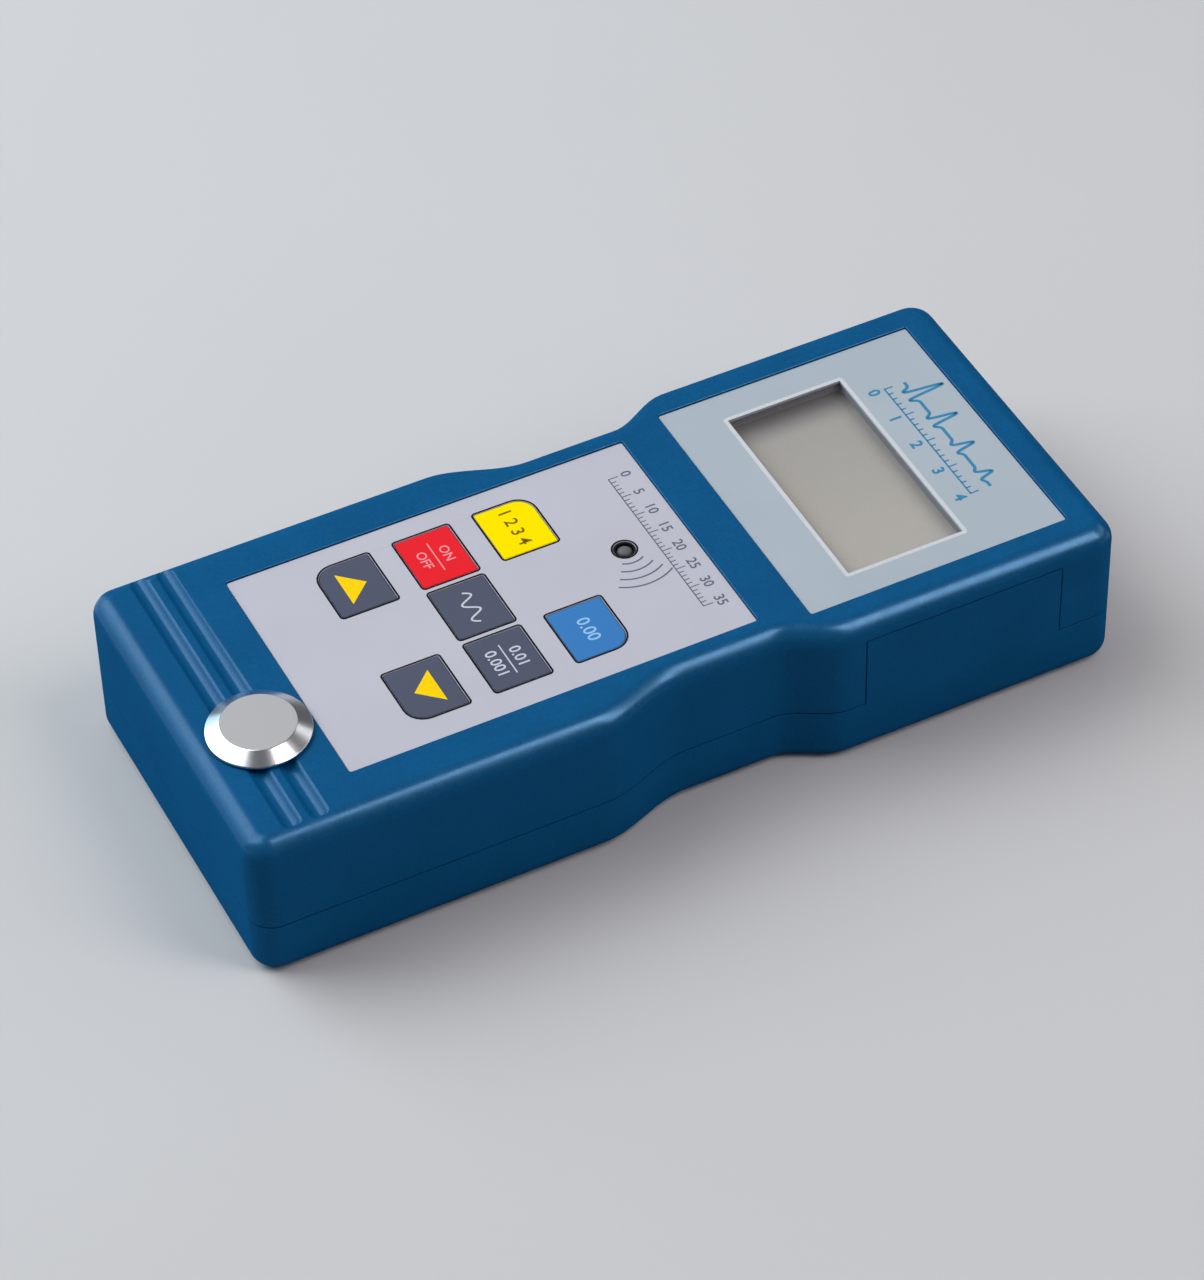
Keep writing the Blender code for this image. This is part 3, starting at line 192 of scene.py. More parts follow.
class GaugeColours(bpy.types.PropertyGroup):
    """Colours of the mouldings, films, keys and inks."""

    housing: colour("Housing", "Moulded casing", (0.003, 0.086, 0.220))
    keypad_film: colour("Keypad film", "Lilac grey of the keypad film", (0.51, 0.51, 0.567))
    display_film: colour("Display film", "Cool grey of the display film", (0.404, 0.466, 0.508))
    key_grey: colour("Grey keys", "Dark keys", (0.088, 0.098, 0.142))
    key_red: colour("Red key", "Power key", (0.82, 0.020, 0.030))
    key_yellow: colour("Yellow key", "Select key", (1.0, 0.78, 0.0))
    key_blue: colour("Blue key", "Calibrate key", (0.046, 0.205, 0.50))
    white_ink: colour("White ink", "Border round the window", (0.61, 0.63, 0.65))
    pink_ink: colour("Pink ink", "Print on the power key", (0.82, 0.30, 0.33))
    pale_ink: colour("Pale ink", "Print on the dark keys", (0.58, 0.60, 0.66))
    slate_ink: colour("Slate ink", "Scale on the keypad film", (0.12, 0.14, 0.19))
    blue_ink: colour("Blue ink", "Trace on the display film", (0.045, 0.24, 0.42))
    amber_ink: colour("Amber ink", "Arrows", (1.0, 0.66, 0.0))
    olive_ink: colour("Olive ink", "Print on the yellow key", (0.22, 0.13, 0.0))
    sky_ink: colour("Sky ink", "Print on the blue key", (0.30, 0.55, 0.80))
    # The black rings round the keys and the lamp also stand in for the shade in the gaps round them.
    black_ink: colour("Black ink", "Outlines round the keys", (0.006, 0.006, 0.009))
    glass: colour("Display glass", "Liquid crystal at rest", (0.505, 0.46, 0.43))
    floor: colour("Floor", "Stage floor", (0.60, 0.60, 0.597))


class GaugeStageSettings(bpy.types.PropertyGroup):
    """The camera and the lights."""

    camera_place: bpy.props.FloatVectorProperty(
        name="Camera", description="Where the camera stands", default=(0.54666, -0.26549, 0.61033),
        subtype="TRANSLATION")
    camera_target: bpy.props.FloatVectorProperty(
        name="Target", description="What the camera points at", default=(0.00345, -0.00428, 0.0149),
        subtype="TRANSLATION")
    camera_roll: bpy.props.FloatProperty(
        name="Roll", description="Turn of the camera about its line of sight", default=math.radians(-1.65),
        subtype="ANGLE")
    camera_lens: bpy.props.FloatProperty(
        name="Lens", description="Focal length in millimetres", default=140.6, min=10.0)
    left_power: power("Left light", "Power of the light left of the camera", 3.8)
    top_power: power("Top light", "Power of the key light overhead", 7.2)
    back_power: power("Back light", "Power of the light past the display end", 1.2)
    panel_power: power("Panel", "Power of the dim panel that the face mirrors", 1.1)
    edge_power: power("Edge light", "Power of the strip light that edges the near side", 3.8)
    corner_power: power("Corner light", "Power of the low panel that edges the keypad end", 1.6)
    sky: bpy.props.FloatProperty(
        name="Sky", description="Strength of the even light from all round", default=0.10, min=0.0)


GROUPS = {
    "gauge_housing": GaugeHousingSizes,
    "gauge_face": GaugeFaceSizes,
    "gauge_colours": GaugeColours,
    "gauge_stage": GaugeStageSettings,
}


# Node trees

def add(tree, kind, inputs=None, **settings):
    """Adds a node with its settings. Each input is a value, or another node's output to link."""
    made = tree.nodes.new(kind)
    for key, value in settings.items():
        setattr(made, key, value)
    for key, value in (inputs or {}).items():
        if isinstance(value, bpy.types.NodeSocket):
            tree.links.new(value, made.inputs[key])
        else:
            made.inputs[key].default_value = value
    return made


def calc(tree, operation, *values):
    """The result of a Math node on values or outputs."""
    return add(tree, "ShaderNodeMath", dict(enumerate(values)), operation=operation).outputs[0]


def vector(tree, **values):
    """A vector from its X, Y and Z, which are 0 where not given."""
    return add(tree, "ShaderNodeCombineXYZ", values).outputs[0]


def axes(tree, place):
    """A vector's outputs X, Y and Z."""
    return add(tree, "ShaderNodeSeparateXYZ", {0: place}).outputs


def remap(tree, value, low, high, to_low=0.0, to_high=1.0, interpolation="LINEAR"):
    """A value taken from one range to another and held within it."""
    inputs = {"Value": value, "From Min": low, "From Max": high, "To Min": to_low, "To Max": to_high}
    return add(tree, "ShaderNodeMapRange", inputs, interpolation_type=interpolation).outputs[0]


def geometry_tree(name, inputs):
    """A Geometry Nodes tree with a geometry input and named inputs: name, socket type and default."""
    tree = bpy.data.node_groups.new(name, "GeometryNodeTree")
    tree.interface.new_socket("Geometry", in_out="INPUT", socket_type="NodeSocketGeometry")
    for label, kind, default in inputs:
        socket = tree.interface.new_socket(label, in_out="INPUT", socket_type="NodeSocket" + kind)
        if default is not None:
            socket.default_value = default
    tree.interface.new_socket("Geometry", in_out="OUTPUT", socket_type="NodeSocketGeometry")
    return tree, tree.nodes.new("NodeGroupInput").outputs


def close_tree(tree, geometry, paint):
    """Ends a tree in Realize Instances and Set Material."""
    real = add(tree, "GeometryNodeRealizeInstances", {"Geometry": geometry})
    painted = add(tree, "GeometryNodeSetMaterial", {"Geometry": real.outputs[0], "Material": paint})
    tree.links.new(painted.outputs[0], tree.nodes.new("NodeGroupOutput").inputs[0])
    return tree


def close_row(tree, given, inputs):
    """Puts copies on the points of a row, joins them to the body and ends the tree."""
    copies = add(tree, "GeometryNodeInstanceOnPoints", inputs)
    joined = add(tree, "GeometryNodeJoinGeometry", {0: copies.outputs[0]})
    tree.links.new(given[0], joined.inputs[0])
    return close_tree(tree, joined.outputs[0], given["Material"])


def run_tree(target, tree, values):
    """Puts a tree on an object, sets its inputs by socket identifier and bakes the result."""
    step = target.modifiers.new(tree.name, "NODES")
    step.node_group = tree
    for socket in tree.interface.items_tree:
        if socket.in_out == "INPUT" and socket.name in values:
            step[socket.identifier] = values[socket.name]
    return baked(target)


def waist_tree():
    """Draws both sides of a body in between two places along its length, with smooth slopes."""
    tree, given = geometry_tree("Waist", (
        ("Depth", "Float", 4.3 * MM), ("Start", "Float", 0.0), ("Entry", "Float", 17 * MM),
        ("End", "Float", 46 * MM), ("Return", "Float", 11 * MM), ("Material", "Material", None)))
    place = axes(tree, add(tree, "GeometryNodeInputPosition").outputs[0])
    slopes = []
    for start, run, operation in (("Start", "Entry", "ADD"), ("End", "Return", "SUBTRACT")):
        stop = calc(tree, operation, given[start], given[run])
        slopes.append(remap(tree, place["Y"], given[start], stop, interpolation="SMOOTHSTEP"))
    inset = calc(tree, "MULTIPLY", calc(tree, "MINIMUM", *slopes), given["Depth"])
    outward = calc(tree, "MULTIPLY", calc(tree, "SIGN", place["X"]), inset)
    offset = vector(tree, X=calc(tree, "MULTIPLY", outward, -1.0))
    moved = add(tree, "GeometryNodeSetPosition", {"Geometry": given[0], "Offset": offset})
    return close_tree(tree, moved.outputs[0], given["Material"])


def copies_tree():
    """Puts a copy of a piece at every point of the mesh, each turned a step further about Z."""
    tree, given = geometry_tree("Copies at points", (
        ("Piece", "Object", None), ("Turn", "Float", 0.0), ("Material", "Material", None)))
    index = add(tree, "GeometryNodeInputIndex").outputs[0]
    rotation = vector(tree, Z=calc(tree, "MULTIPLY", index, given["Turn"]))
    piece = add(tree, "GeometryNodeObjectInfo", {"Object": given["Piece"], "As Instance": True})
    copies = add(tree, "GeometryNodeInstanceOnPoints", {
        "Points": given[0], "Instance": piece.outputs["Geometry"], "Rotation": rotation})
    return close_tree(tree, copies.outputs[0], given["Material"])


def rib_tree():
    """Adds a row of rounded ribs to a body: each lies along X, and the row runs along Y."""
    tree, given = geometry_tree("Ribs", (
        ("Count", "Int", 5), ("First", "Vector", None), ("Pitch", "Float", 2.6 * MM),
        ("Length", "Float", 22 * MM), ("Width", "Float", 1.2 * MM), ("Height", "Float", 0.7 * MM),
        ("Edge", "Float", 0.2 * MM), ("Material", "Material", None)))
    row = add(tree, "GeometryNodeMeshLine", {
        "Count": given["Count"], "Start Location": given["First"], "Offset": vector(tree, Y=given["Pitch"])})
    start, end = [vector(tree, X=calc(tree, "MULTIPLY", given["Length"], share)) for share in (-0.5, 0.5)]
    spine = add(tree, "GeometryNodeCurvePrimitiveLine", {"Start": start, "End": end})
    section = add(tree, "GeometryNodeCurvePrimitiveQuadrilateral", {
        "Width": given["Width"], "Height": given["Height"]})
    rounded_section = add(tree, "GeometryNodeFilletCurve", {
        "Curve": section.outputs[0], "Radius": given["Edge"], "Count": 4}, mode="POLY")
    bar = add(tree, "GeometryNodeCurveToMesh", {
        "Curve": spine.outputs[0], "Profile Curve": rounded_section.outputs[0], "Fill Caps": True})
    return close_row(tree, given, {"Points": row.outputs[0], "Instance": bar.outputs[0]})


def tick_tree():
    """Adds the ticks of a scale along X, with a longer one at every fifth place."""
    tree, given = geometry_tree("Ticks", (
        ("Count", "Int", 36), ("First", "Vector", None), ("Pitch", "Float", 1 * MM),
        ("Width", "Float", 0.2 * MM), ("Short", "Float", 0.8 * MM), ("Long", "Float", 1.5 * MM),
        ("Ink", "Float", 0.04 * MM), ("Material", "Material", None)))
    row = add(tree, "GeometryNodeMeshLine", {
        "Count": given["Count"], "Start Location": given["First"], "Offset": vector(tree, X=given["Pitch"])})
    index = add(tree, "GeometryNodeInputIndex").outputs[0]
    is_long = calc(tree, "LESS_THAN", calc(tree, "MODULO", index, float(LONG_TICK_EVERY)), 0.5)
    growth = calc(tree, "SUBTRACT", given["Long"], given["Short"])
    height = calc(tree, "ADD", calc(tree, "MULTIPLY", growth, is_long), given["Short"])
    lift = vector(tree, Y=calc(tree, "MULTIPLY", height, 0.5))
    lifted = add(tree, "GeometryNodeSetPosition", {"Geometry": row.outputs[0], "Offset": lift})
    unit = add(tree, "GeometryNodeMeshCube", {"Size": (1.0, 1.0, 1.0)})
    return close_row(tree, given, {
        "Points": lifted.outputs[0], "Instance": unit.outputs[0],
        "Scale": vector(tree, X=given["Width"], Y=height, Z=given["Ink"])})


# Mesh tools

def arc(centre, radius, start, end, steps):
    """Points along an arc, angles in degrees, both ends included."""
    points = []
    for index in range(steps + 1):
        angle = math.radians(start + (end - start) * index / steps)
        points.append(Vector((centre[0] + radius * math.cos(angle), centre[1] + radius * math.sin(angle))))
    return points


def rounded(low, high, radii, grow=0.0, steps=6):
    """A rectangle's outline, anticlockwise, grown evenly. The radii go from the lower left corner round."""
    outline = []
    corners = ((low[0], low[1], 1, 1, 180), (high[0], low[1], -1, 1, 270),
               (high[0], high[1], -1, -1, 0), (low[0], high[1], 1, -1, 90))
    for (x, y, in_x, in_y, start), radius in zip(corners, radii):
        middle = (x + in_x * radius, y + in_y * radius)
        outline += arc(middle, max(radius + grow, 0.001 * MM), start, start + 90, steps)
    return outline


def circle(centre, radius, sides):
    return arc(centre, radius, 0, 360 * (sides - 1) / sides, sides - 1)


def at_height(outline, z):
    return [Vector((point[0], point[1], z)) for point in outline]


def skin(bm, rings):
    """A closed wall through rings of equal count. Returns the rings' vertices."""
    loops = [[bm.verts.new(point) for point in ring] for ring in rings]
    for below, above in zip(loops, loops[1:]):
        for index in range(len(below)):
            after = (index + 1) % len(below)
            bm.faces.new((below[index], below[after], above[after], above[index]))
    return loops


def loft(bm, rings):
    """A closed skin through rings of equal count, capped at both ends."""
    loops = skin(bm, rings)
    bm.faces.new(list(reversed(loops[0])))
    bm.faces.new(loops[-1])


def prism(bm, outline, low, high):
    loft(bm, [at_height(outline, low), at_height(outline, high)])


def block(bm, low, high):
    prism(bm, [(low[0], low[1]), (high[0], low[1]), (high[0], high[1]), (low[0], high[1])], low[2], high[2])


def rod(bm, radius, low, high, place, sides=ROUND_SIDES):
    prism(bm, circle(place, radius, sides), low, high)


def turned(bm, profile, sides, place=Matrix.Identity(4)):
    """A turned solid about Z. The profile is (radius, height) pairs, closed at the axis with radius 0."""
    loops = []
    for radius, height in profile:
        if radius == 0:
            loops.append([bm.verts.new(place @ Vector((0, 0, height)))])
            continue
        ring = circle((0, 0), radius, sides)
        loops.append([bm.verts.new(place @ Vector((x, y, height))) for x, y in ring])
    for below, above in zip(loops, loops[1:]):
        for index in range(sides):
            after = (index + 1) % sides
            corners = [below[index % len(below)], below[after % len(below)]]
            corners += [above[after % len(above)], above[index % len(above)]]
            bm.faces.new(list(dict.fromkeys(corners)))


def eased(profile, radius, steps=4):
    """Rounds every inner corner of a turned profile with a small arc."""
    points = [Vector(point) for point in profile]
    outline = [tuple(points[0])]
    for before, corner, after in zip(points, points[1:], points[2:]):
        back, ahead = before - corner, after - corner
        reach = min(radius, back.length * 0.45, ahead.length * 0.45)
        start, end = corner + back.normalized() * reach, corner + ahead.normalized() * reach
        for step in range(steps + 1):
            t = step / steps
            point = start * (1 - t) ** 2 + corner * (2 * t * (1 - t)) + end * t ** 2
            outline.append((max(point.x, 0.0), point.y))
    outline.append(tuple(points[-1]))
    return outline


def quarter(edge, steps):
    """Inset and rise pairs of a rounded edge, from its foot to where it meets the wall."""
    for step in range(steps + 1):
        turn = math.radians(90 * step / steps)
        yield edge * (1 - math.sin(turn)), edge * (1 - math.cos(turn))


def plate(bm, outer, holes, low, high, edge, steps=3):
    """A flat plate with rounded edges. outer and holes are functions from growth to an outline."""
    feet, tops = [], []
    for outline, sign in [(outer, -1)] + [(hole, 1) for hole in holes]:
        rings = [(inset, low + rise) for inset, rise in quarter(edge, steps)]
        rings += [(inset, high - rise) for inset, rise in reversed(list(quarter(edge, steps)))]
        loops = skin(bm, [at_height(outline(sign * inset), z) for inset, z in rings])
        for ends, loop in ((feet, loops[0]), (tops, loops[-1])):
            ends += [bm.edges.get((a, b)) for a, b in zip(loop, loop[1:] + loop[:1])]
    for ends in (feet, tops):
        bmesh.ops.triangle_fill(bm, edges=ends, use_beauty=True)


def ribbon(bm, path, width, low, high):
    """A flat line of even width along a path."""
    rings = []
    for index, point in enumerate(path):
        point = Vector(point)
        ahead = Vector(path[min(index + 1, len(path) - 1)]) - Vector(path[max(index - 1, 0)])
        side = Vector((-ahead.y, ahead.x)).normalized() * (width / 2)
        right, left = point - side, point + side
        rings.append([(*right, low), (*right, high), (*left, high), (*left, low)])
    loft(bm, rings)


def lettering(bm, words, figure, centre, low, high, weight=0.012):
    """Adds figures or letters, as tall as figure, with their middle at centre. The weight thickens them."""
    curve = bpy.data.curves.new("lettering", "FONT")
    curve.body = words
    curve.extrude = 0.5
    curve.offset = weight
    curve.resolution_u = 3
    holder = bpy.data.objects.new("lettering", curve)
    bpy.context.scene.collection.objects.link(holder)
    shape = bpy.data.meshes.new_from_object(holder.evaluated_get(bpy.context.evaluated_depsgraph_get()))
    xs = [vertex.co.x for vertex in shape.vertices]
    ys = [vertex.co.y for vertex in shape.vertices]
    scale = figure / (max(ys) - min(ys))
    middle = Vector(((max(xs) + min(xs)) / 2, (max(ys) + min(ys)) / 2, 0))
    place = Matrix.Translation((*centre, (low + high) / 2)) @ Matrix.Diagonal((scale, scale, high - low, 1))
    shape.transform(place @ Matrix.Translation(-middle))
    bm.from_mesh(shape)
    bpy.data.objects.remove(holder)
    bpy.data.curves.remove(curve)
    bpy.data.meshes.remove(shape)


def solid(name, bm):
    """Turns built geometry into a linked object with its faces pointing out."""
    bmesh.ops.remove_doubles(bm, verts=bm.verts, dist=0.0005 * MM)
    bmesh.ops.recalc_face_normals(bm, faces=bm.faces)
    mesh = bpy.data.meshes.new(name)
    bm.to_mesh(mesh)
    bm.free()
    made = bpy.data.objects.new(name, mesh)
    bpy.context.scene.collection.objects.link(made)
    return made


def filled(name, fill):
    """A linked object from a function that fills a bmesh."""
    bm = bmesh.new()
    fill(bm)
    return solid(name, bm)


def baked(target):
    """Replaces an object's mesh by what its modifiers make of it, and removes them."""
    evaluated = target.evaluated_get(bpy.context.evaluated_depsgraph_get())
    shape = bpy.data.meshes.new_from_object(evaluated)
    old = target.data
    target.modifiers.clear()
    target.data = shape
    shape.name = target.name
    bpy.data.meshes.remove(old)
    return target


def carve(target, steps):
    """Joins, cuts or keeps parts of an object by solids that functions fill, and bakes the result."""
    tools = []
    for operation, fill in steps:
        tool = fill if isinstance(fill, bpy.types.Object) else filled("tool", fill)
        step = target.modifiers.new(operation, "BOOLEAN")
        step.operation = operation
        step.solver = "EXACT"
        step.object = tool
        tools.append(tool)
    baked(target)
    for tool in tools:
        bpy.data.objects.remove(tool)
    return target


def soften(target, wanted, width, segments=2):
    """Rounds the sharp edges that a test picks from their two faces."""
    bm = bmesh.new()
    bm.from_mesh(target.data)
    bmesh.ops.remove_doubles(bm, verts=bm.verts, dist=0.002 * MM)
    bmesh.ops.dissolve_degenerate(bm, dist=0.002 * MM, edges=bm.edges)
    chosen = []
    for edge in bm.edges:
        if len(edge.link_faces) == 2 and edge.calc_face_angle(0) > math.radians(50):
            if wanted(edge):
                chosen.append(edge)
    bmesh.ops.bevel(bm, geom=chosen, offset=width, offset_type="OFFSET", segments=segments, profile=0.5,
                    affect="EDGES", clamp_overlap=True)
    bm.to_mesh(target.data)
    bm.free()
    return target


def shaded(target, angle=35):
    """Smooth shading that stays flat on the large faces, with sharp edges past an angle."""
    target.data.shade_smooth()
    target.data.set_sharp_from_angle(angle=math.radians(angle))
    step = target.modifiers.new("flat faces", "WEIGHTED_NORMAL")
    step.keep_sharp = True
    step.weight = 80
    return baked(target)


def present(target, paint, body, nodes=(), smooth=35):
    """Finishes a piece: its material, its body, and the nodes that it stands for."""
    target.data.materials.clear()
    target.data.materials.append(paint)
    target.data.polygons.foreach_set("material_index", [0] * len(target.data.polygons))
    if smooth:
        shaded(target, smooth)
    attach(target, body)
    if nodes:
        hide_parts(*nodes)
    return target


# Finishes

def shader_tree(name):
    """A new material with its Principled shader and Object coordinates."""
    paint = bpy.data.materials.new(name)
    paint.use_nodes = True
    tree = paint.node_tree
    shader = tree.nodes["Principled BSDF"]
    place = add(tree, "ShaderNodeTexCoord").outputs["Object"]
    return paint, tree, shader, place


def noise(tree, place, size, detail=2.0, rough=0.5):
    """A noise whose features are about size across."""
    return add(tree, "ShaderNodeTexNoise",
               {"Vector": place, "Scale": 1.0 / size, "Detail": detail, "Roughness": rough}).outputs["Fac"]


def ranged(tree, factor, low, high):
    """A number that goes from low to high as a noise does."""
    return remap(tree, factor, 0.3, 0.7, low, high)


def mixed(tree, share, first, second, blend="MIX"):
    """A mix of two colours, each a value or an output."""
    inputs = {0: share, 6: first, 7: second}
    return add(tree, "ShaderNodeMix", inputs, data_type="RGBA", blend_type=blend).outputs[2]


def blended(tree, factor, low, high, first=0.3, last=0.7):
    """A colour that goes from low to high as the factor does."""
    return mixed(tree, remap(tree, factor, first, last), (*low, 1), (*high, 1))


def toned(tree, factor, tone, low, high):
    """A tone that goes from one share of itself to another as a noise does."""
    return blended(tree, factor, *[tuple(min(part * share, 1.0) for part in tone) for share in (low, high)])


def surface(tree, shader, tone, roughness):
    """Links a shader's colour and roughness."""
    tree.links.new(tone, shader.inputs["Base Color"])
    tree.links.new(roughness, shader.inputs["Roughness"])


def bumped(tree, shader, height, depth, after=None):
    """Adds a bump of a real depth to a shader, on top of another bump if one is given."""
    inputs = {"Height": height, "Distance": depth, "Strength": 1.0}
    if after is not None:
        inputs["Normal"] = after
    made = add(tree, "ShaderNodeBump", inputs)
    tree.links.new(made.outputs[0], shader.inputs["Normal"])
    tree.links.new(made.outputs[0], shader.inputs["Coat Normal"])
    return made.outputs[0]


def even_gloss(shader, weight, roughness):
    """A thin hard gloss that stays even toward grazing views, in place of the base's own reflection."""
    shader.inputs["Specular IOR Level"].default_value = 0.0
    shader.inputs["Coat IOR"].default_value = 2.5
    shader.inputs["Coat Weight"].default_value = weight
    shader.inputs["Coat Roughness"].default_value = roughness


def from_axis(tree, place, centre):
    """How far a place is from an upright axis."""
    moved = add(tree, "ShaderNodeMapping", {"Vector": place, "Location": (-centre.x, -centre.y, 0)})
    flat = add(tree, "ShaderNodeVectorMath", {0: moved.outputs[0], 1: (1, 1, 0)}, operation="MULTIPLY")
    return add(tree, "ShaderNodeVectorMath", {0: flat.outputs[0]}, operation="LENGTH").outputs["Value"]


def moulded(name, tone, roughness=0.42, grain=0.22 * MM, gloss=0.1, wear_and_sheen=0.0):
    """Moulded plastic: spark-eroded grain, flow patches and uneven gloss; the edge setting gives glossier
    edges, partly wear and partly painted sheen.
    """
    paint, tree, shader, place = shader_tree(name)
    base = toned(tree, noise(tree, place, 14 * MM, 3.0), tone, 0.94, 1.06)
    flecks = ranged(tree, noise(tree, place, 0.5 * MM, 1.0), 0.93, 1.07)
    surface(tree, shader, mixed(tree, 1.0, base, flecks, "MULTIPLY"),
            ranged(tree, noise(tree, place, 3 * MM, 4.0), roughness - 0.04, roughness + 0.05))
    even_gloss(shader, gloss, roughness)
    if wear_and_sheen:
        wear_edges(tree, shader, gloss, wear_and_sheen)
    sink = bumped(tree, shader, noise(tree, place, 22 * MM, 1.0), 0.02 * MM)
    bumped(tree, shader, noise(tree, place, grain, 2.0, 0.6), 0.006 * MM, sink)
    return paint


def wear_edges(tree, shader, gloss, wear_and_sheen):
    """Glossier rounded edges, partly wear and partly painted sheen: strongest on the near side, none on
    edges that face the far side or the display end, and half the gloss on the walls, set by which way the
    surface faces.
    """
    sides = axes(tree, add(tree, "ShaderNodeTexCoord").outputs["Normal"])
    off_wall = remap(tree, sides["Z"], 0.38, 0.62)
    off_face = remap(tree, sides["Z"], 0.998, 0.96)
    no_sheen_far_and_end = remap(tree, calc(tree, "SUBTRACT", sides["X"], sides["Y"]), -0.1, 0.08)
    rubbed_and_sheen = calc(tree, "MULTIPLY", calc(tree, "MINIMUM", off_wall, off_face), no_sheen_far_and_end)
    # Painted sheen: the near (+X) side gets four times the edge gloss of the other sides.
    held = remap(tree, sides["X"], 0.1, 0.4, wear_and_sheen / 4, wear_and_sheen)
    film = remap(tree, off_wall, 0.0, 1.0, gloss / 2, gloss)
    tree.links.new(calc(tree, "MULTIPLY", rubbed_and_sheen, held), shader.inputs["Specular IOR Level"])
    tree.links.new(film, shader.inputs["Coat Weight"])
    # Painted sheen: a blue tint given to the edges' reflections.
    shader.inputs["Specular Tint"].default_value = (0.25, 0.62, 1.0, 1)
    shader.inputs["IOR"].default_value = 1.6


def printed_film(name, tone, roughness=0.34, texture=0.12 * MM, depth=0.002 * MM, gloss=0.12):
    """Printed polyester film: a fine velvet texture over an even print, with a soft gloss."""
    paint, tree, shader, place = shader_tree(name)
    surface(tree, shader, toned(tree, noise(tree, place, 20 * MM), tone, 0.975, 1.02),
            ranged(tree, noise(tree, place, 2 * MM, 3.0), roughness - 0.03, roughness + 0.04))
    even_gloss(shader, gloss, roughness)
    wave = bumped(tree, shader, noise(tree, place, 12 * MM, 1.0), 0.02 * MM)
    bumped(tree, shader, noise(tree, place, texture), depth, wave)
    return paint


def screen_ink(name, tone, roughness=0.4):
    """Screen-printed ink, with the mesh of the screen in its surface."""
    paint, tree, shader, place = shader_tree(name)
    surface(tree, shader, toned(tree, noise(tree, place, 0.7 * MM), tone, 0.94, 1.03),
            ranged(tree, noise(tree, place, 1.5 * MM), roughness - 0.03, roughness + 0.05))
    even_gloss(shader, 0.06, roughness)
    mesh = add(tree, "ShaderNodeTexVoronoi", {"Vector": place, "Scale": 1 / (0.12 * MM)})
    bumped(tree, shader, mesh.outputs["Distance"], 0.002 * MM)
    return paint


def turned_steel(name, tone, roughness, centre, pitch=0.07 * MM, depth=0.0003 * MM):
    """Machined steel with fine concentric tool lines round an upright axis."""
    paint, tree, shader, place = shader_tree(name)
    shader.inputs["Metallic"].default_value = 1.0
    turns = calc(tree, "MULTIPLY", from_axis(tree, place, centre), 1 / pitch)
    uneven = calc(tree, "ADD", turns, noise(tree, place, 1.4 * MM, 1.0))
    lines = noise(tree, vector(tree, X=uneven), 1.0, 3.0)
    surface(tree, shader, toned(tree, lines, tone, 0.93, 1.04),
            ranged(tree, lines, roughness - 0.05, roughness + 0.07))
    bumped(tree, shader, lines, depth)
    return paint


def plated(name, tone, roughness, grain=0.3 * MM):
    """Plated or rolled metal with fine scratches and slight clouding."""
    paint, tree, shader, place = shader_tree(name)
    shader.inputs["Metallic"].default_value = 1.0
    stretched = add(tree, "ShaderNodeMapping", {"Vector": place, "Scale": (1.0, 12.0, 1.0)})
    scratches = noise(tree, stretched.outputs[0], grain, 3.0)
    surface(tree, shader, toned(tree, noise(tree, place, 3 * MM), tone, 0.9, 1.05),
            ranged(tree, scratches, roughness - 0.06, roughness + 0.1))
    bumped(tree, shader, scratches, 0.001 * MM)
    return paint


def liquid_crystal(name, tone):
    """Reflective liquid crystal behind glass, with painted shade: a silvery field darkened along its far
    side and its display-end edge as the painted shadow of the window's walls, and lighter toward the near
    side as a painted fall of light.
    """
    paint, tree, shader, place = shader_tree(name)
    along = axes(tree, place)
    # Painted shade: a gentle fall from the near side to the far side, a painted shadow within 7 mm of the
    # far edge and another within 4 mm of the display-end edge.
    painted_light_falloff = remap(tree, along["X"], PANE_LOW.x, PANE_HIGH.x, 0.80, 1.05)
    far = remap(tree, along["X"], PANE_LOW.x + 1 * MM, PANE_LOW.x + 7 * MM, 0.34, 1.0, "SMOOTHSTEP")
    end = remap(tree, along["Y"], PANE_HIGH.y - 0.5 * MM, PANE_HIGH.y - 4 * MM, 0.85, 1.0, "SMOOTHSTEP")
    shade = calc(tree, "MULTIPLY", calc(tree, "MULTIPLY", far, end), painted_light_falloff)
    # The dark tone is the colour of the painted shadow.
    field = mixed(tree, shade, (0.08, 0.08, 0.10, 1), (*tone, 1))
    sparkle = noise(tree, place, 0.15 * MM)
    surface(tree, shader, mixed(tree, 1.0, field, ranged(tree, sparkle, 0.94, 1.05), "MULTIPLY"),
            ranged(tree, noise(tree, place, 4 * MM), 0.42, 0.5))
    even_gloss(shader, 0.1, 0.12)
    bumped(tree, shader, sparkle, 0.002 * MM)
    return paint


def clear_acrylic(name):
    """Clear moulded pane: lets the display show and keeps a soft reflection."""
    paint, tree, shader, place = shader_tree(name)
    shader.inputs["Base Color"].default_value = (0.95, 0.96, 0.96, 1)
    shader.inputs["Metallic"].default_value = 1.0
    tree.links.new(ranged(tree, noise(tree, place, 3 * MM, 3.0), 0.05, 0.12), shader.inputs["Roughness"])
    bumped(tree, shader, noise(tree, place, 9 * MM), 0.004 * MM)
    clear = add(tree, "ShaderNodeBsdfTransparent", {"Color": (0.96, 0.97, 0.96, 1)})
    gloss = add(tree, "ShaderNodeFresnel", {"IOR": 1.49})
    inside = add(tree, "ShaderNodeNewGeometry").outputs["Backfacing"]
    share = calc(tree, "MULTIPLY", gloss.outputs[0], calc(tree, "SUBTRACT", 1.0, inside))
    both = add(tree, "ShaderNodeMixShader", {0: share, 1: clear.outputs[0], 2: shader.outputs[0]})
    tree.links.new(both.outputs[0], tree.nodes["Material Output"].inputs["Surface"])
    return paint


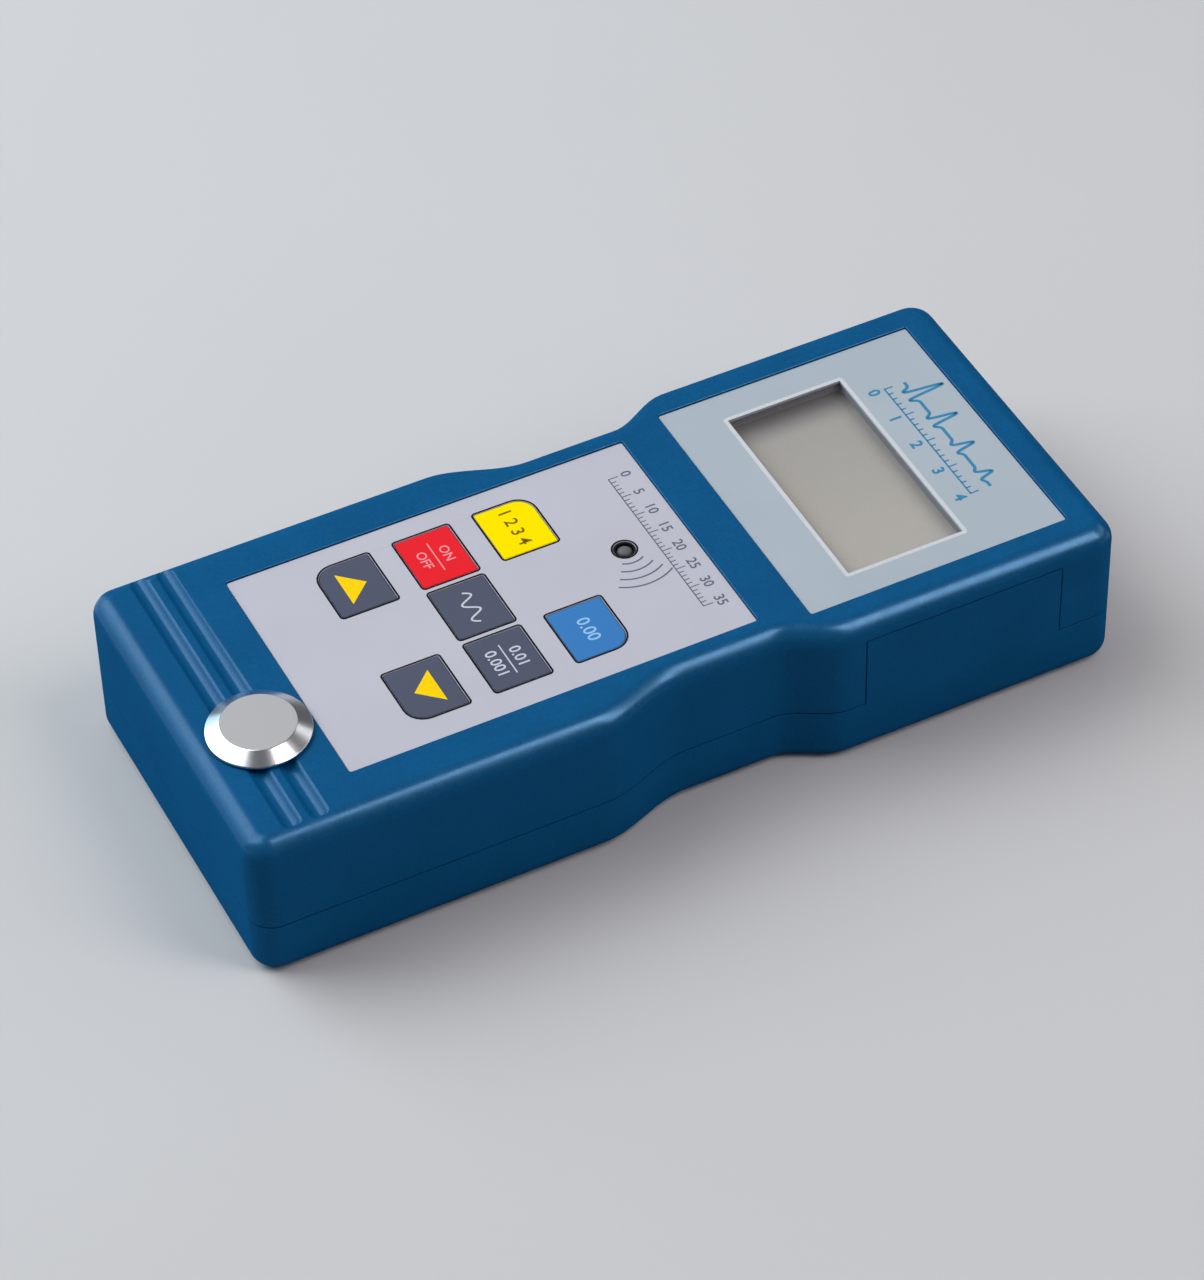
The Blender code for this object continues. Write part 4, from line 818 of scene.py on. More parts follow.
def lamp_lens(name):
    """The lamp's smoked lens, with a paler heart that shows through the dome."""
    paint, tree, shader, place = shader_tree(name)
    radius = from_axis(tree, place, LAMP_MIDDLE)
    heart = blended(tree, radius, (0.125, 0.13, 0.14), (0.02, 0.02, 0.025), 0.8 * MM, 1.45 * MM)
    surface(tree, shader, heart, ranged(tree, noise(tree, place, 1 * MM), 0.42, 0.52))
    shader.inputs["Specular IOR Level"].default_value = 0.25
    bumped(tree, shader, noise(tree, place, 0.4 * MM), 0.002 * MM)
    return paint


def solder_mask(name):
    """Green solder mask over copper tracks, with pale tracks that run both ways."""
    paint, tree, shader, place = shader_tree(name)
    tracks = add(tree, "ShaderNodeTexBrick", {
        "Vector": place, "Scale": 90.0, "Mortar Size": 0.012, "Mortar Smooth": 0.3,
        "Color1": (0.012, 0.14, 0.05, 1), "Color2": (0.016, 0.17, 0.065, 1),
        "Mortar": (0.05, 0.30, 0.13, 1)})
    surface(tree, shader, tracks.outputs["Color"], ranged(tree, noise(tree, place, 2 * MM), 0.25, 0.38))
    bumped(tree, shader, tracks.outputs["Fac"], 0.03 * MM)
    return paint


def cell_sleeve(name):
    """A cell's dark shrink sleeve, slightly rippled."""
    paint, tree, shader, place = shader_tree(name)
    surface(tree, shader,
            blended(tree, noise(tree, place, 6 * MM), (0.018, 0.018, 0.022), (0.028, 0.028, 0.033)),
            ranged(tree, noise(tree, place, 1 * MM, 3.0), 0.22, 0.34))
    bumped(tree, shader, noise(tree, place, 1.2 * MM), 0.01 * MM)
    return paint


def finish(kind):
    """A finish of the gauge by kind, made once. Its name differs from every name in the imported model."""
    name = kind + "_finish"
    found = bpy.data.materials.get(name)
    if found:
        return found
    tones = bpy.context.scene.gauge_colours
    if kind in KEY_GLOSS:
        return printed_film(name, getattr(tones, kind), 0.38, 0.2 * MM, 0.004 * MM, KEY_GLOSS[kind])
    if kind in ("keypad_film", "display_film"):
        return printed_film(name, getattr(tones, kind))
    if kind.endswith("_ink"):
        return screen_ink(name, getattr(tones, kind))
    makers = {
        "casing_blue": lambda: moulded(name, tones.housing, 0.28, gloss=0.04, wear_and_sheen=1.0),
        "lcd_field": lambda: liquid_crystal(name, tones.glass),
        "clear_acrylic": lambda: clear_acrylic(name),
        "smoked_lens": lambda: lamp_lens(name),
        "black_moulding": lambda: moulded(name, (0.010, 0.010, 0.012), 0.45, gloss=0.08),
        "white_moulding": lambda: moulded(name, (0.72, 0.72, 0.69), 0.5),
        "gasket_rubber": lambda: moulded(name, (0.30, 0.28, 0.32), 0.7, gloss=0.02),
        "contact_rubber": lambda: moulded(name, (0.23, 0.23, 0.24), 0.8, 0.4 * MM, 0.05),
        "turned_steel": lambda: turned_steel(name, (0.85, 0.85, 0.87), 0.21, DISC_MIDDLE),
        "nickel_plate": lambda: plated(name, (0.62, 0.60, 0.56), 0.22),
        "zinc_screw": lambda: plated(name, (0.50, 0.51, 0.53), 0.32),
        "spring_plate": lambda: plated(name, (0.66, 0.64, 0.60), 0.24),
        "gold_pin": lambda: plated(name, (0.90, 0.66, 0.28), 0.2),
        "board_mask": lambda: solder_mask(name),
        "cell_sleeve": lambda: cell_sleeve(name),
    }
    return makers[kind]()


# Casings

def waist_values(sizes):
    """The waist's inputs, placed from the display film."""
    end = DISPLAY_LOW.y + sizes.waist_past_film
    return {"Depth": sizes.waist_depth, "Start": end - sizes.waist_length, "Entry": sizes.waist_entry,
            "End": end, "Return": sizes.waist_return, "Material": finish("casing_blue")}


def casing_outline(sizes, grow):
    """The casing's straight outline, with points along both sides for the waist."""
    radius = sizes.corner_radius
    waist = waist_values(sizes)
    start, end = waist["Start"] - PAST, waist["End"] + PAST
    stations = [start + (end - start) * step / WAIST_STEPS for step in range(WAIST_STEPS + 1)]
    right = arc((HALF_WIDTH - radius, SHELL_LOW.y + radius), radius + grow, -90, 0, CORNER_STEPS)
    right += [Vector((HALF_WIDTH + grow, y)) for y in stations]
    right += arc((HALF_WIDTH - radius, SHELL_HIGH.y - radius), radius + grow, 0, 90, CORNER_STEPS)
    return right + [Vector((-point.x, point.y)) for point in reversed(right)]


def casing_solid(name, sizes, rings):
    """A body on the casing's outline through (growth, height) rings, drawn in at the waist."""
    def fill(bm):
        loft(bm, [at_height(casing_outline(sizes, grow), z) for grow, z in rings])

    tree = bpy.data.node_groups.get("Waist") or waist_tree()
    return run_tree(filled(name, fill), tree, waist_values(sizes))


def casing_skin(name, sizes):
    """The whole outside of the gauge, with rounded edges round its back and its front."""
    rings = [(-inset, rise) for inset, rise in quarter(sizes.back_edge, EDGE_STEPS)]
    rings += [(-inset, FACE - rise) for inset, rise in reversed(list(quarter(sizes.front_edge, EDGE_STEPS)))]
    return casing_solid(name, sizes, rings)


def casing_hollow(sizes):
    rings = [(-sizes.side_wall, sizes.back_wall), (-sizes.side_wall, FACE - sizes.face_wall)]
    return casing_solid("hollow", sizes, rings)


def lower_region(top):
    """All below a height."""
    def fill(bm):
        reach = HALF_WIDTH + PAST
        block(bm, (-reach, SHELL_LOW.y - PAST, -PAST), (reach, SHELL_HIGH.y + PAST, top))
    return fill


def ear_region(sizes, grow):
    """The two ears of the rear casing, grown evenly for their notches."""
    end = SHELL_HIGH.y - sizes.ear_from_end
    start = end - sizes.ear_length

    def fill(bm):
        inner = HALF_WIDTH - sizes.side_wall - PAST
        for near, far in ((inner, HALF_WIDTH + 2 * PAST), (-HALF_WIDTH - 2 * PAST, -inner)):
            block(bm, (near, start - grow, PARTING - PAST), (far, end + grow, EAR_TOP + grow))
    return fill


def groove_tool(sizes):
    """The two finger grooves: an arc in section that eases out into the face, and round ends."""
    # Shares of the half width and of the depth: the bowl, then the slope that eases out
    section = [(step / 16, 1 - (step / 16) ** 2) for step in range(1, 13)]
    section += [(0.8 + 0.05 * step, 0.36 * (1 - step / 9) ** 2 - 0.004) for step in range(10)]

    def fill(bm):
        right = HALF_WIDTH - sizes.groove_from_right - sizes.groove_half_width
        left = sizes.groove_from_left + sizes.groove_half_width - HALF_WIDTH
        for index in range(2):
            y = SHELL_LOW.y + sizes.groove_from_end + index * sizes.groove_pitch
            rings = []
            for share, sunk in section:
                around = arc((right, y), sizes.groove_half_width * share, -90, 90, 24)
                around += arc((left, y), sizes.groove_half_width * share, 90, 270, 24)
                rings.append(at_height(around, FACE - sizes.groove_depth * sunk))
            rings.append(at_height([point.xy for point in rings[-1]], FACE + PAST))
            loft(bm, rings)
    return fill


def key_outline(key, corner):
    """A function that gives a key's outline for any growth."""
    sizes = bpy.context.scene.gauge_face
    low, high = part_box(key + "_key")
    radii = [sizes.key_square_corner] * 4
    if corner is not None:
        radii[corner] = sizes.key_corner
    return lambda grow: rounded(low, high, radii, grow)


def film_outline(low, high, corner):
    return lambda grow: rounded(low, high, [corner] * 4, grow)


def lamp_outline(radius):
    return lambda grow: circle(LAMP_MIDDLE, radius + grow, 40)


def recess_tool(sizes, corner):
    """The pockets of the two films, each with a rounded lip."""
    def fill(bm):
        lip = sizes.recess_lip
        for low, high in ((FILM_LOW, FILM_HIGH), (DISPLAY_LOW, DISPLAY_HIGH)):
            outline = film_outline(low, high, corner)
            rings = [(CLEARANCE, RECESS_FLOOR)]
            rings += [(CLEARANCE + inset, FACE - rise) for inset, rise in reversed(list(quarter(lip, 4)))]
            rings.append((CLEARANCE + lip, FACE + PAST))
            loft(bm, [at_height(outline(grow), z) for grow, z in rings])
    return fill


def face_holes(sizes, face):
    """The openings for the keys, the lamp, the pane and the disc's spigot."""
    def fill(bm):
        below = FACE - sizes.face_wall - PAST
        for key, _, corner in KEYS:
            prism(bm, key_outline(key, corner)(CLEARANCE), below, FACE + PAST)
        prism(bm, lamp_outline(face.lamp_hole / 2)(0), below, FACE + PAST)
        prism(bm, film_outline(PANE_LOW, PANE_HIGH, face.film_corner)(CLEARANCE), below, RECESS_FLOOR + JOIN)
        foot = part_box("test_disc")[0].z
        rod(bm, SPIGOT_RADIUS + CLEARANCE, foot - CLEARANCE, FACE + PAST, DISC_MIDDLE)
    return fill


def sockets():
    """Each probe socket's side and the middle of its axis."""
    for side in ("left", "right"):
        low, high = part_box("probe_socket_" + side)
        yield side, (low + high) / 2


def socket_holes(bm):
    """The holes for the sockets' barrels in the display end wall, cut as deep as a nut is wide."""
    low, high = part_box("socket_nut_left")
    deep = high.x - low.x
    barrel = BARREL_RADIUS + CLEARANCE
    for _, middle in sockets():
        place = along_y(middle.x, SHELL_HIGH.y - deep / 2, middle.z)
        turned(bm, [(0, 0), (barrel, 0), (barrel, deep), (0, deep)], ROUND_SIDES, place)


def screws(kind):
    """Each screw's box and axis."""
    for index in range(1, 5):
        low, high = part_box("%s_screw_%d" % (kind, index))
        yield low, high, (low + high) / 2


def bosses(sizes):
    """Bosses under the face for the casing screws and the board screws."""
    def fill(bm):
        top = FACE - sizes.face_wall + JOIN
        for _, _, axis in screws("housing"):
            rod(bm, sizes.boss_diameter / 2, FRONT_FOOT, top, axis, 32)
        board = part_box("circuit_board")[1].z + CLEARANCE
        for _, _, axis in screws("board"):
            rod(bm, BOARD_BOSS_RADIUS, board, top, axis, 32)
    return fill


def boss_bores(sizes):
    """The bores in the bosses, a little deeper than their screws reach."""
    def fill(bm):
        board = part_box("circuit_board")[1].z - PAST
        for _, high, axis in screws("housing"):
            rod(bm, sizes.screw_bore / 2, FRONT_FOOT - PAST, high.z + CLEARANCE, axis, 32)
        for _, high, axis in screws("board"):
            rod(bm, BOARD_BORE_RADIUS, board, high.z + CLEARANCE, axis, 24)
    return fill


def outer_seam(edge):
    """Whether a sharp edge lies on the outside of a side or end wall, below the front edge."""
    if max(vertex.co.z for vertex in edge.verts) > EAR_TOP + 1.0 * MM:
        return False
    middle = (edge.verts[0].co + edge.verts[1].co) / 2
    for face in edge.link_faces:
        normal = face.normal
        if abs(normal.z) < 0.2 and abs(normal.x * middle.x) + abs(normal.y * middle.y) > 0.02:
            if normal.x * middle.x + normal.y * middle.y > 0:
                return True
    return False


def build_front_housing(sizes, face):
    """The front casing: waisted face and side walls, with every seat that the face parts need."""
    casing = casing_skin("front_housing", sizes)
    gap = sizes.seam / 2
    carve(casing, (
        ("DIFFERENCE", casing_hollow(sizes)),
        ("DIFFERENCE", lower_region(PARTING + CLEARANCE / 2 + gap)),
        ("DIFFERENCE", ear_region(sizes, CLEARANCE / 2 + gap)),
        ("UNION", bosses(sizes)),
        ("DIFFERENCE", groove_tool(sizes)),
        ("DIFFERENCE", recess_tool(sizes, face.film_corner)),
        ("DIFFERENCE", face_holes(sizes, face)),
        ("DIFFERENCE", socket_holes),
        ("DIFFERENCE", boss_bores(sizes)),
    ))
    soften(casing, outer_seam, sizes.seam_edge)
    present(casing, finish("casing_blue"), "housing", ["front_shell"])


def bay_box(sizes):
    """The lowest and highest corners of the battery bay's hollow."""
    half = DOOR_HIGH.x - sizes.door_tongue - sizes.door_side_lap
    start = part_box("negative_terminal")[0].y - CLEARANCE
    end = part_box("contact_bridge_1")[1].y + CLEARANCE
    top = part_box("battery_cell_1")[1].z + CLEARANCE
    return Vector((-half, start, -PAST)), Vector((half, end, top))


def build_rear_housing(sizes):
    """The rear casing: back, ears, battery bay, door slots and screw posts."""
    casing = casing_skin("rear_housing", sizes)
    gap = sizes.seam / 2
    region = filled("region", lower_region(PARTING + CLEARANCE / 2 - gap))
    carve(region, [("UNION", ear_region(sizes, CLEARANCE / 2 - gap))])
    low, high = bay_box(sizes)
    wall, foot = sizes.bay_wall, sizes.back_wall - JOIN
    roof = high.z + sizes.bay_roof
    seat_top = DOOR_HIGH.z + CLEARANCE
    slot_low = DOOR_HIGH.z - sizes.door_tongue_thickness - CLEARANCE
    plate_half = DOOR_HIGH.x - sizes.door_tongue
    start, end = SHELL_LOW.y - PAST, DOOR_HIGH.y + CLEARANCE

    def bay_and_posts(bm):
        outline = rounded(low, high, [sizes.bay_corner - wall] * 4, wall)
        prism(bm, outline, foot, roof)
        for _, _, axis in screws("housing"):
            rod(bm, sizes.post_diameter / 2, foot, PARTING, axis, 40)

    def seats(bm):
        reach = plate_half + CLEARANCE
        block(bm, (-reach, start, -PAST), (reach, end, seat_top))

    def slots(bm):
        reach = DOOR_HIGH.x + CLEARANCE
        block(bm, (-reach, start, slot_low), (-reach + 2 * PAST, end, seat_top))
        block(bm, (reach - 2 * PAST, start, slot_low), (reach, end, seat_top))

    def bores(bm):
        for _, _, axis in screws("housing"):
            rod(bm, sizes.screw_bore / 2, sizes.screw_well - JOIN, PARTING + PAST, axis, 32)

    def wells(bm):
        for low_corner, high_corner, axis in screws("housing"):
            radius = (high_corner.x - low_corner.x) / 2 + CLEARANCE
            rod(bm, radius, -PAST, sizes.screw_well, axis, 48)

    def tab_slots(bm):
        reach = TAB_WIDTH / 2 + CLEARANCE
        for side in ("negative", "positive"):
            corner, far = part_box(side + "_terminal")
            middle = far.x - TAB_WIDTH / 2 if side == "negative" else corner.x + TAB_WIDTH / 2
            block(bm, (middle - reach, corner.y - CLEARANCE / 2, high.z - PAST),
                  (middle + reach, corner.y + 0.8 * MM, roof + PAST))

    carve(casing, (
        ("DIFFERENCE", casing_hollow(sizes)),
        ("INTERSECT", region),
        ("UNION", bay_and_posts),
        ("DIFFERENCE", lambda bm: block(bm, low, high)),
        ("DIFFERENCE", seats),
        ("DIFFERENCE", slots),
        ("DIFFERENCE", bores),
        ("DIFFERENCE", wells),
        ("DIFFERENCE", tab_slots),
    ))

    def outside(edge):
        if outer_seam(edge):
            return True
        return all(abs(vertex.co.z) < 0.01 * MM for vertex in edge.verts)

    soften(casing, outside, sizes.seam_edge)
    present(casing, finish("casing_blue"), "housing", ["rear_shell"])


def build_battery_door(sizes):
    """The sliding door, whose end follows the casing's rounded foot, with its thumb ribs."""
    plate_half = DOOR_HIGH.x - sizes.door_tongue
    sink = 0.3 * MM
    tongue_low = DOOR_HIGH.z - sizes.door_tongue_thickness
    start = SHELL_LOW.y - PAST

    def panel(bm):
        block(bm, (-plate_half, start, sink), (plate_half, DOOR_HIGH.y, DOOR_HIGH.z))

    def tongues(bm):
        block(bm, (DOOR_LOW.x, start, tongue_low), DOOR_HIGH)

    door = filled("sliding_door", panel)
    carve(door, (("UNION", tongues), ("INTERSECT", casing_skin("foot", sizes))))
    soften(door, lambda edge: True, 0.12 * MM)
    rib_foot, rib_height, rib_edge = 0.05 * MM, 0.75 * MM, 0.2 * MM
    first = (0.0, SHELL_LOW.y + sizes.rib_from_end + sizes.rib_width / 2, rib_foot + rib_height / 2)
    run_tree(door, rib_tree(), {
        "Count": sizes.rib_count, "First": first, "Pitch": sizes.rib_pitch, "Length": sizes.rib_length,
        "Width": sizes.rib_width, "Height": rib_height, "Edge": rib_edge, "Material": finish("casing_blue")})
    present(door, finish("casing_blue"), "door", ["battery_door"])


# Face

def build_films(face):
    """The two printed films in their recesses."""
    holes = [key_outline(key, corner) for key, _, corner in KEYS]
    holes = [lambda grow, hole=hole: hole(grow + face.key_gap) for hole in holes]
    holes.append(lamp_outline(face.lamp_hole / 2))
    grown = face.film_growth
    pad = film_outline(FILM_LOW, FILM_HIGH, face.film_corner)
    keypad = filled("keypad_film", lambda bm: plate(
        bm, lambda grow: pad(grow + grown), holes, FILM_LOW.z, FILM_HIGH.z, face.film_edge))
    present(keypad, finish("keypad_film"), "housing", ["keypad_overlay"])
    window = film_outline(PANE_LOW, PANE_HIGH, face.film_corner)
    around = film_outline(DISPLAY_LOW, DISPLAY_HIGH, face.film_corner)
    display = filled("display_film", lambda bm: plate(
        bm, lambda grow: around(grow + grown), [lambda grow: window(grow - CLEARANCE)],
        DISPLAY_LOW.z, DISPLAY_HIGH.z, face.film_edge))
    present(display, finish("display_film"), "housing", ["display_overlay"])


def print_sides(surface):
    """The low and high sides of a printed layer, a quarter of it sunk into its surface."""
    thickness = bpy.context.scene.gauge_face.ink
    return surface - thickness / 4, surface + thickness * 3 / 4


def print_piece(name, fill, ink, body, surface):
    """A printed layer on a surface: fill gets a bmesh and the layer's low and high sides."""
    made = filled(name, lambda bm: fill(bm, *print_sides(surface)))
    return present(made, finish(ink), body, smooth=0)


def print_scale(name, fill, ink, surface, place, ticks):
    """A printed layer with a row of ticks from a place on, by the tick tree's inputs."""
    low, high = print_sides(surface)
    made = filled(name, lambda bm: fill(bm, low, high))
    tree = bpy.data.node_groups.get("Ticks") or tick_tree()
    run_tree(made, tree, {
        **ticks, "First": (*place, (low + high) / 2), "Ink": high - low, "Material": finish(ink)})
    present(made, finish(ink), "housing", smooth=0)


def printed_frame(bm, outline, inner, width, low, high):
    """A printed line of even width, from its inner side out, round an outline."""
    plate(bm, lambda grow: outline(grow + inner + width), [lambda grow: outline(grow + inner)],
          low, high, 0.0, 1)


def key_middle(key):
    low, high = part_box(key + "_key")
    return ((low + high) / 2).xy


def build_face_print(face):
    """The print on the films: black rings round the keys and the lamp, which also stand in for the shade in
    the gaps round them, waves beside the lamp, a scale, the window's border and a trace.
    """
    top = FILM_HIGH.z

    # Painted shade in part: these black rings are print that also stands for the dark shade in the gap round
    # each key and round the lamp.
    def outlines(bm, low, high):
        inner = face.key_gap + face.film_edge
        for key, _, corner in KEYS:
            printed_frame(bm, key_outline(key, corner), inner, face.key_outline, low, high)
        lamp = lamp_outline(face.lamp_hole / 2)
        printed_frame(bm, lamp, face.film_edge, face.key_outline, low, high)

    print_piece("key_outline_print", outlines, "black_ink", "housing", top)

    def waves(bm, low, high):
        for index in range(4):
            ribbon(bm, arc(LAMP_MIDDLE, (3.6 + 1.9 * index) * MM, -33, 33, 14), face.line, low, high)

    print_piece("lamp_wave_print", waves, "slate_ink", "housing", top)

    half, y, pitch, line = 17.5 * MM, FILM_HIGH.y - 6.0 * MM, 1.0 * MM, 0.2 * MM

    def ruler(bm, low, high):
        for mark in range(0, 36, LONG_TICK_EVERY):
            place = (mark * pitch - half, y + 3.3 * MM)
            lettering(bm, str(mark), face.scale_figure, place, low, high)
        ribbon(bm, [(-half - line / 2, y), (half + line / 2, y)], line, low, high)

    print_scale("ruler_print", ruler, "slate_ink", top, (-half, y), {
        "Count": 36, "Pitch": pitch, "Width": line, "Short": 1.0 * MM, "Long": 1.8 * MM})

    window = film_outline(PANE_LOW, PANE_HIGH, face.film_corner)
    inner = face.film_edge - CLEARANCE + 0.06 * MM

    def border(bm, low, high):
        printed_frame(bm, window, inner, face.border, low, high)

    print_piece("window_border_print", border, "white_ink", "housing", DISPLAY_HIGH.z)
    build_trace()


def build_trace():
    """A pulse and its fading echoes over a plain scale, in blue on the display film."""
    base = PANE_HIGH.y + 5.6 * MM
    start, pitch, divisions, line = -15.5 * MM, 1.5 * MM, 20, 0.3 * MM
    end = start + divisions * pitch

    def swing(x):
        """The trace's height: one strong pulse, then echoes that fade at even spacing."""
        height = 0.0
        for index in range(4):
            place = start + (3.4 + 7.8 * index) * MM
            strength = 5.8 * MM * 0.72 ** index
            spread = (x - place) / (1.15 * MM)
            height += strength * math.exp(-spread * spread) * math.cos(2.3 * spread)
        return height

    def trace(bm, low, high):
        steps = 360
        path = []
        for index in range(steps + 1):
            x = start + (end - start) * index / steps
            path.append((x, base + 3.9 * MM + swing(x)))
        ribbon(bm, path, 2 * line, low, high)
        ribbon(bm, [(start - line / 2, base), (end + line / 2, base)], line, low, high)
        for index in range(divisions // LONG_TICK_EVERY + 1):
            place = (start + LONG_TICK_EVERY * pitch * index, base - 2.0 * MM)
            lettering(bm, str(index), 2.3 * MM, place, low, high, 0.03)

    print_scale("echo_trace_print", trace, "blue_ink", DISPLAY_HIGH.z, (start, base), {
        "Count": divisions + 1, "Pitch": pitch, "Width": line, "Short": 0.9 * MM, "Long": 1.6 * MM})


def build_keys(face):
    """The key caps, each with a rounded top edge."""
    for key, paint, corner in KEYS:
        low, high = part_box(key + "_key")
        cap = filled(key + "_cap", lambda bm: plate(
            bm, key_outline(key, corner), [], low.z, high.z, face.key_edge, 4))
        present(cap, finish(paint), key + "_button", [key + "_key"])


def build_key_legends(face):
    """The print on the keys: arrows, ON and OFF, figures and a wave."""
    def arrow(direction):
        def fill(bm, x, y, low, high):
            half, tip = face.arrow_base / 2, face.arrow_height / 2
            foot, peak = y - direction * tip, y + direction * tip
            corners = [(x - half, foot), (x + half, foot), (x, peak)]
            prism(bm, corners if direction > 0 else list(reversed(corners)), low, high)
        return fill

    def stacked(upper, lower, height):
        apart, half = 2.05 * MM, 3.6 * MM

        def fill(bm, x, y, low, high):
            lettering(bm, upper, height, (x, y + apart), low, high)
            lettering(bm, lower, height, (x, y - apart), low, high)
            ribbon(bm, [(x - half, y), (x + half, y)], face.line * 0.8, low, high)
        return fill

    def wave(bm, x, y, low, high):
        path = []
        for index in range(49):
            t = index / 48
            path.append((x + (t - 0.5) * 7.4 * MM, y + 1.25 * MM * math.sin(4 * math.pi * t)))
        ribbon(bm, path, face.line * 1.2, low, high)

    def words(text):
        return lambda bm, x, y, low, high: lettering(bm, text, face.figure, (x, y), low, high)

    legends = {
        "up": (arrow(1), "amber_ink", "key_yellow"),
        "down": (arrow(-1), "amber_ink", "key_yellow"),
        "power": (stacked("ON", "OFF", 1.8 * MM), "pink_ink", "white_plastic"),
        "velocity": (wave, "pale_ink", "white_plastic"),
        "unit": (stacked("0.01", "0.001", 2.1 * MM), "pale_ink", "white_plastic"),
        "select": (words("1 2 3 4"), "olive_ink", "dark_plastic"),
        "calibrate": (words("0.00"), "sky_ink", "white_plastic"),
    }
    for key, (shape, ink, slot) in legends.items():
        x, y = key_middle(key)
        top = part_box(key + "_key")[1].z
        print_piece(key + "_legend", lambda bm, low, high: shape(bm, x, y, low, high), ink, key + "_button",
                    top)


def build_display(face):
    """The clear pane with the gasket round it, and the liquid crystal glass under it."""
    pane = filled("clear_pane", lambda bm: plate(
        bm, film_outline(PANE_LOW, PANE_HIGH, face.film_corner), [], PANE_LOW.z, PANE_HIGH.z, 0.1 * MM))
    present(pane, finish("clear_acrylic"), "housing", ["display_window"])
    window = film_outline(PANE_LOW, PANE_HIGH, face.film_corner)
    inner, outer = 0.03 * MM, CLEARANCE - 0.03 * MM
    gasket = filled("window_gasket", lambda bm: plate(
        bm, lambda grow: window(grow + outer), [lambda grow: window(grow + inner)],
        PANE_LOW.z - CLEARANCE / 2, PANE_HIGH.z, 0.04 * MM, 1))
    present(gasket, finish("gasket_rubber"), "housing")
    low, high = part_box("display_glass")
    glass = filled("crystal_glass", lambda bm: plate(
        bm, film_outline(low, high, 0.3 * MM), [], low.z, high.z, 0.1 * MM))
    present(glass, finish("lcd_field"), "housing", ["display_glass"])


def build_lamp():
    """The domed coupling lamp in a dark sleeve, which also stands in for the shade in the gap round the
    lens.
    """
    low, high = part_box("coupling_lamp")
    place = Matrix.Translation((LAMP_MIDDLE.x, LAMP_MIDDLE.y, 0))
    radius, flange = 1.5 * MM, (high.x - low.x) / 2
    rise, steps = 0.9 * MM, 12
    profile = [(0, low.z), (flange, low.z), (flange, low.z + 1 * MM), (radius, low.z + 1 * MM)]
    for step in range(steps):
        turn = math.radians(90 * step / steps)
        profile.append((radius * math.cos(turn), high.z - rise + rise * math.sin(turn)))
    profile.append((0, high.z))
    lamp = filled("lamp_dome", lambda bm: turned(bm, profile, 48, place))
    present(lamp, finish("smoked_lens"), "housing", ["coupling_lamp"])
    # The black sleeve fills the gap round the lens and stands in for the shade that falls there.
    inner, outer = radius + 0.08 * MM, radius + 0.38 * MM
    foot, top = RECESS_FLOOR - 2 * MM, high.z - 0.1 * MM
    ring = [(inner, foot), (outer, foot), (outer, top), (inner, top), (inner, foot)]
    sleeve = filled("lamp_sleeve", lambda bm: turned(bm, ring, 48, place))
    present(sleeve, finish("black_moulding"), "housing")


def build_test_disc():
    """The turned steel disc: a bevelled head, a thin rim and a spigot."""
    low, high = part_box("test_disc")
    outer, face = (high.x - low.x) / 2, 6.4 * MM
    under, rim = FACE + CLEARANCE, FACE + 0.7 * MM
    profile = [(0, low.z), (SPIGOT_RADIUS, low.z), (SPIGOT_RADIUS, under), (outer, under), (outer, rim),
               (face, high.z), (0, high.z)]
    place = Matrix.Translation((DISC_MIDDLE.x, DISC_MIDDLE.y, 0))
    disc = filled("steel_disc", lambda bm: turned(bm, eased(profile, 0.12 * MM), 128, place))
    present(disc, finish("turned_steel"), "housing", ["test_disc"], smooth=25)


# Ends and fasteners

def along_y(x, y, z):
    """A frame whose Z axis points along +Y, at a place."""
    return Matrix.Translation((x, y, z)) @ Matrix.Rotation(-math.pi / 2, 4, "X")


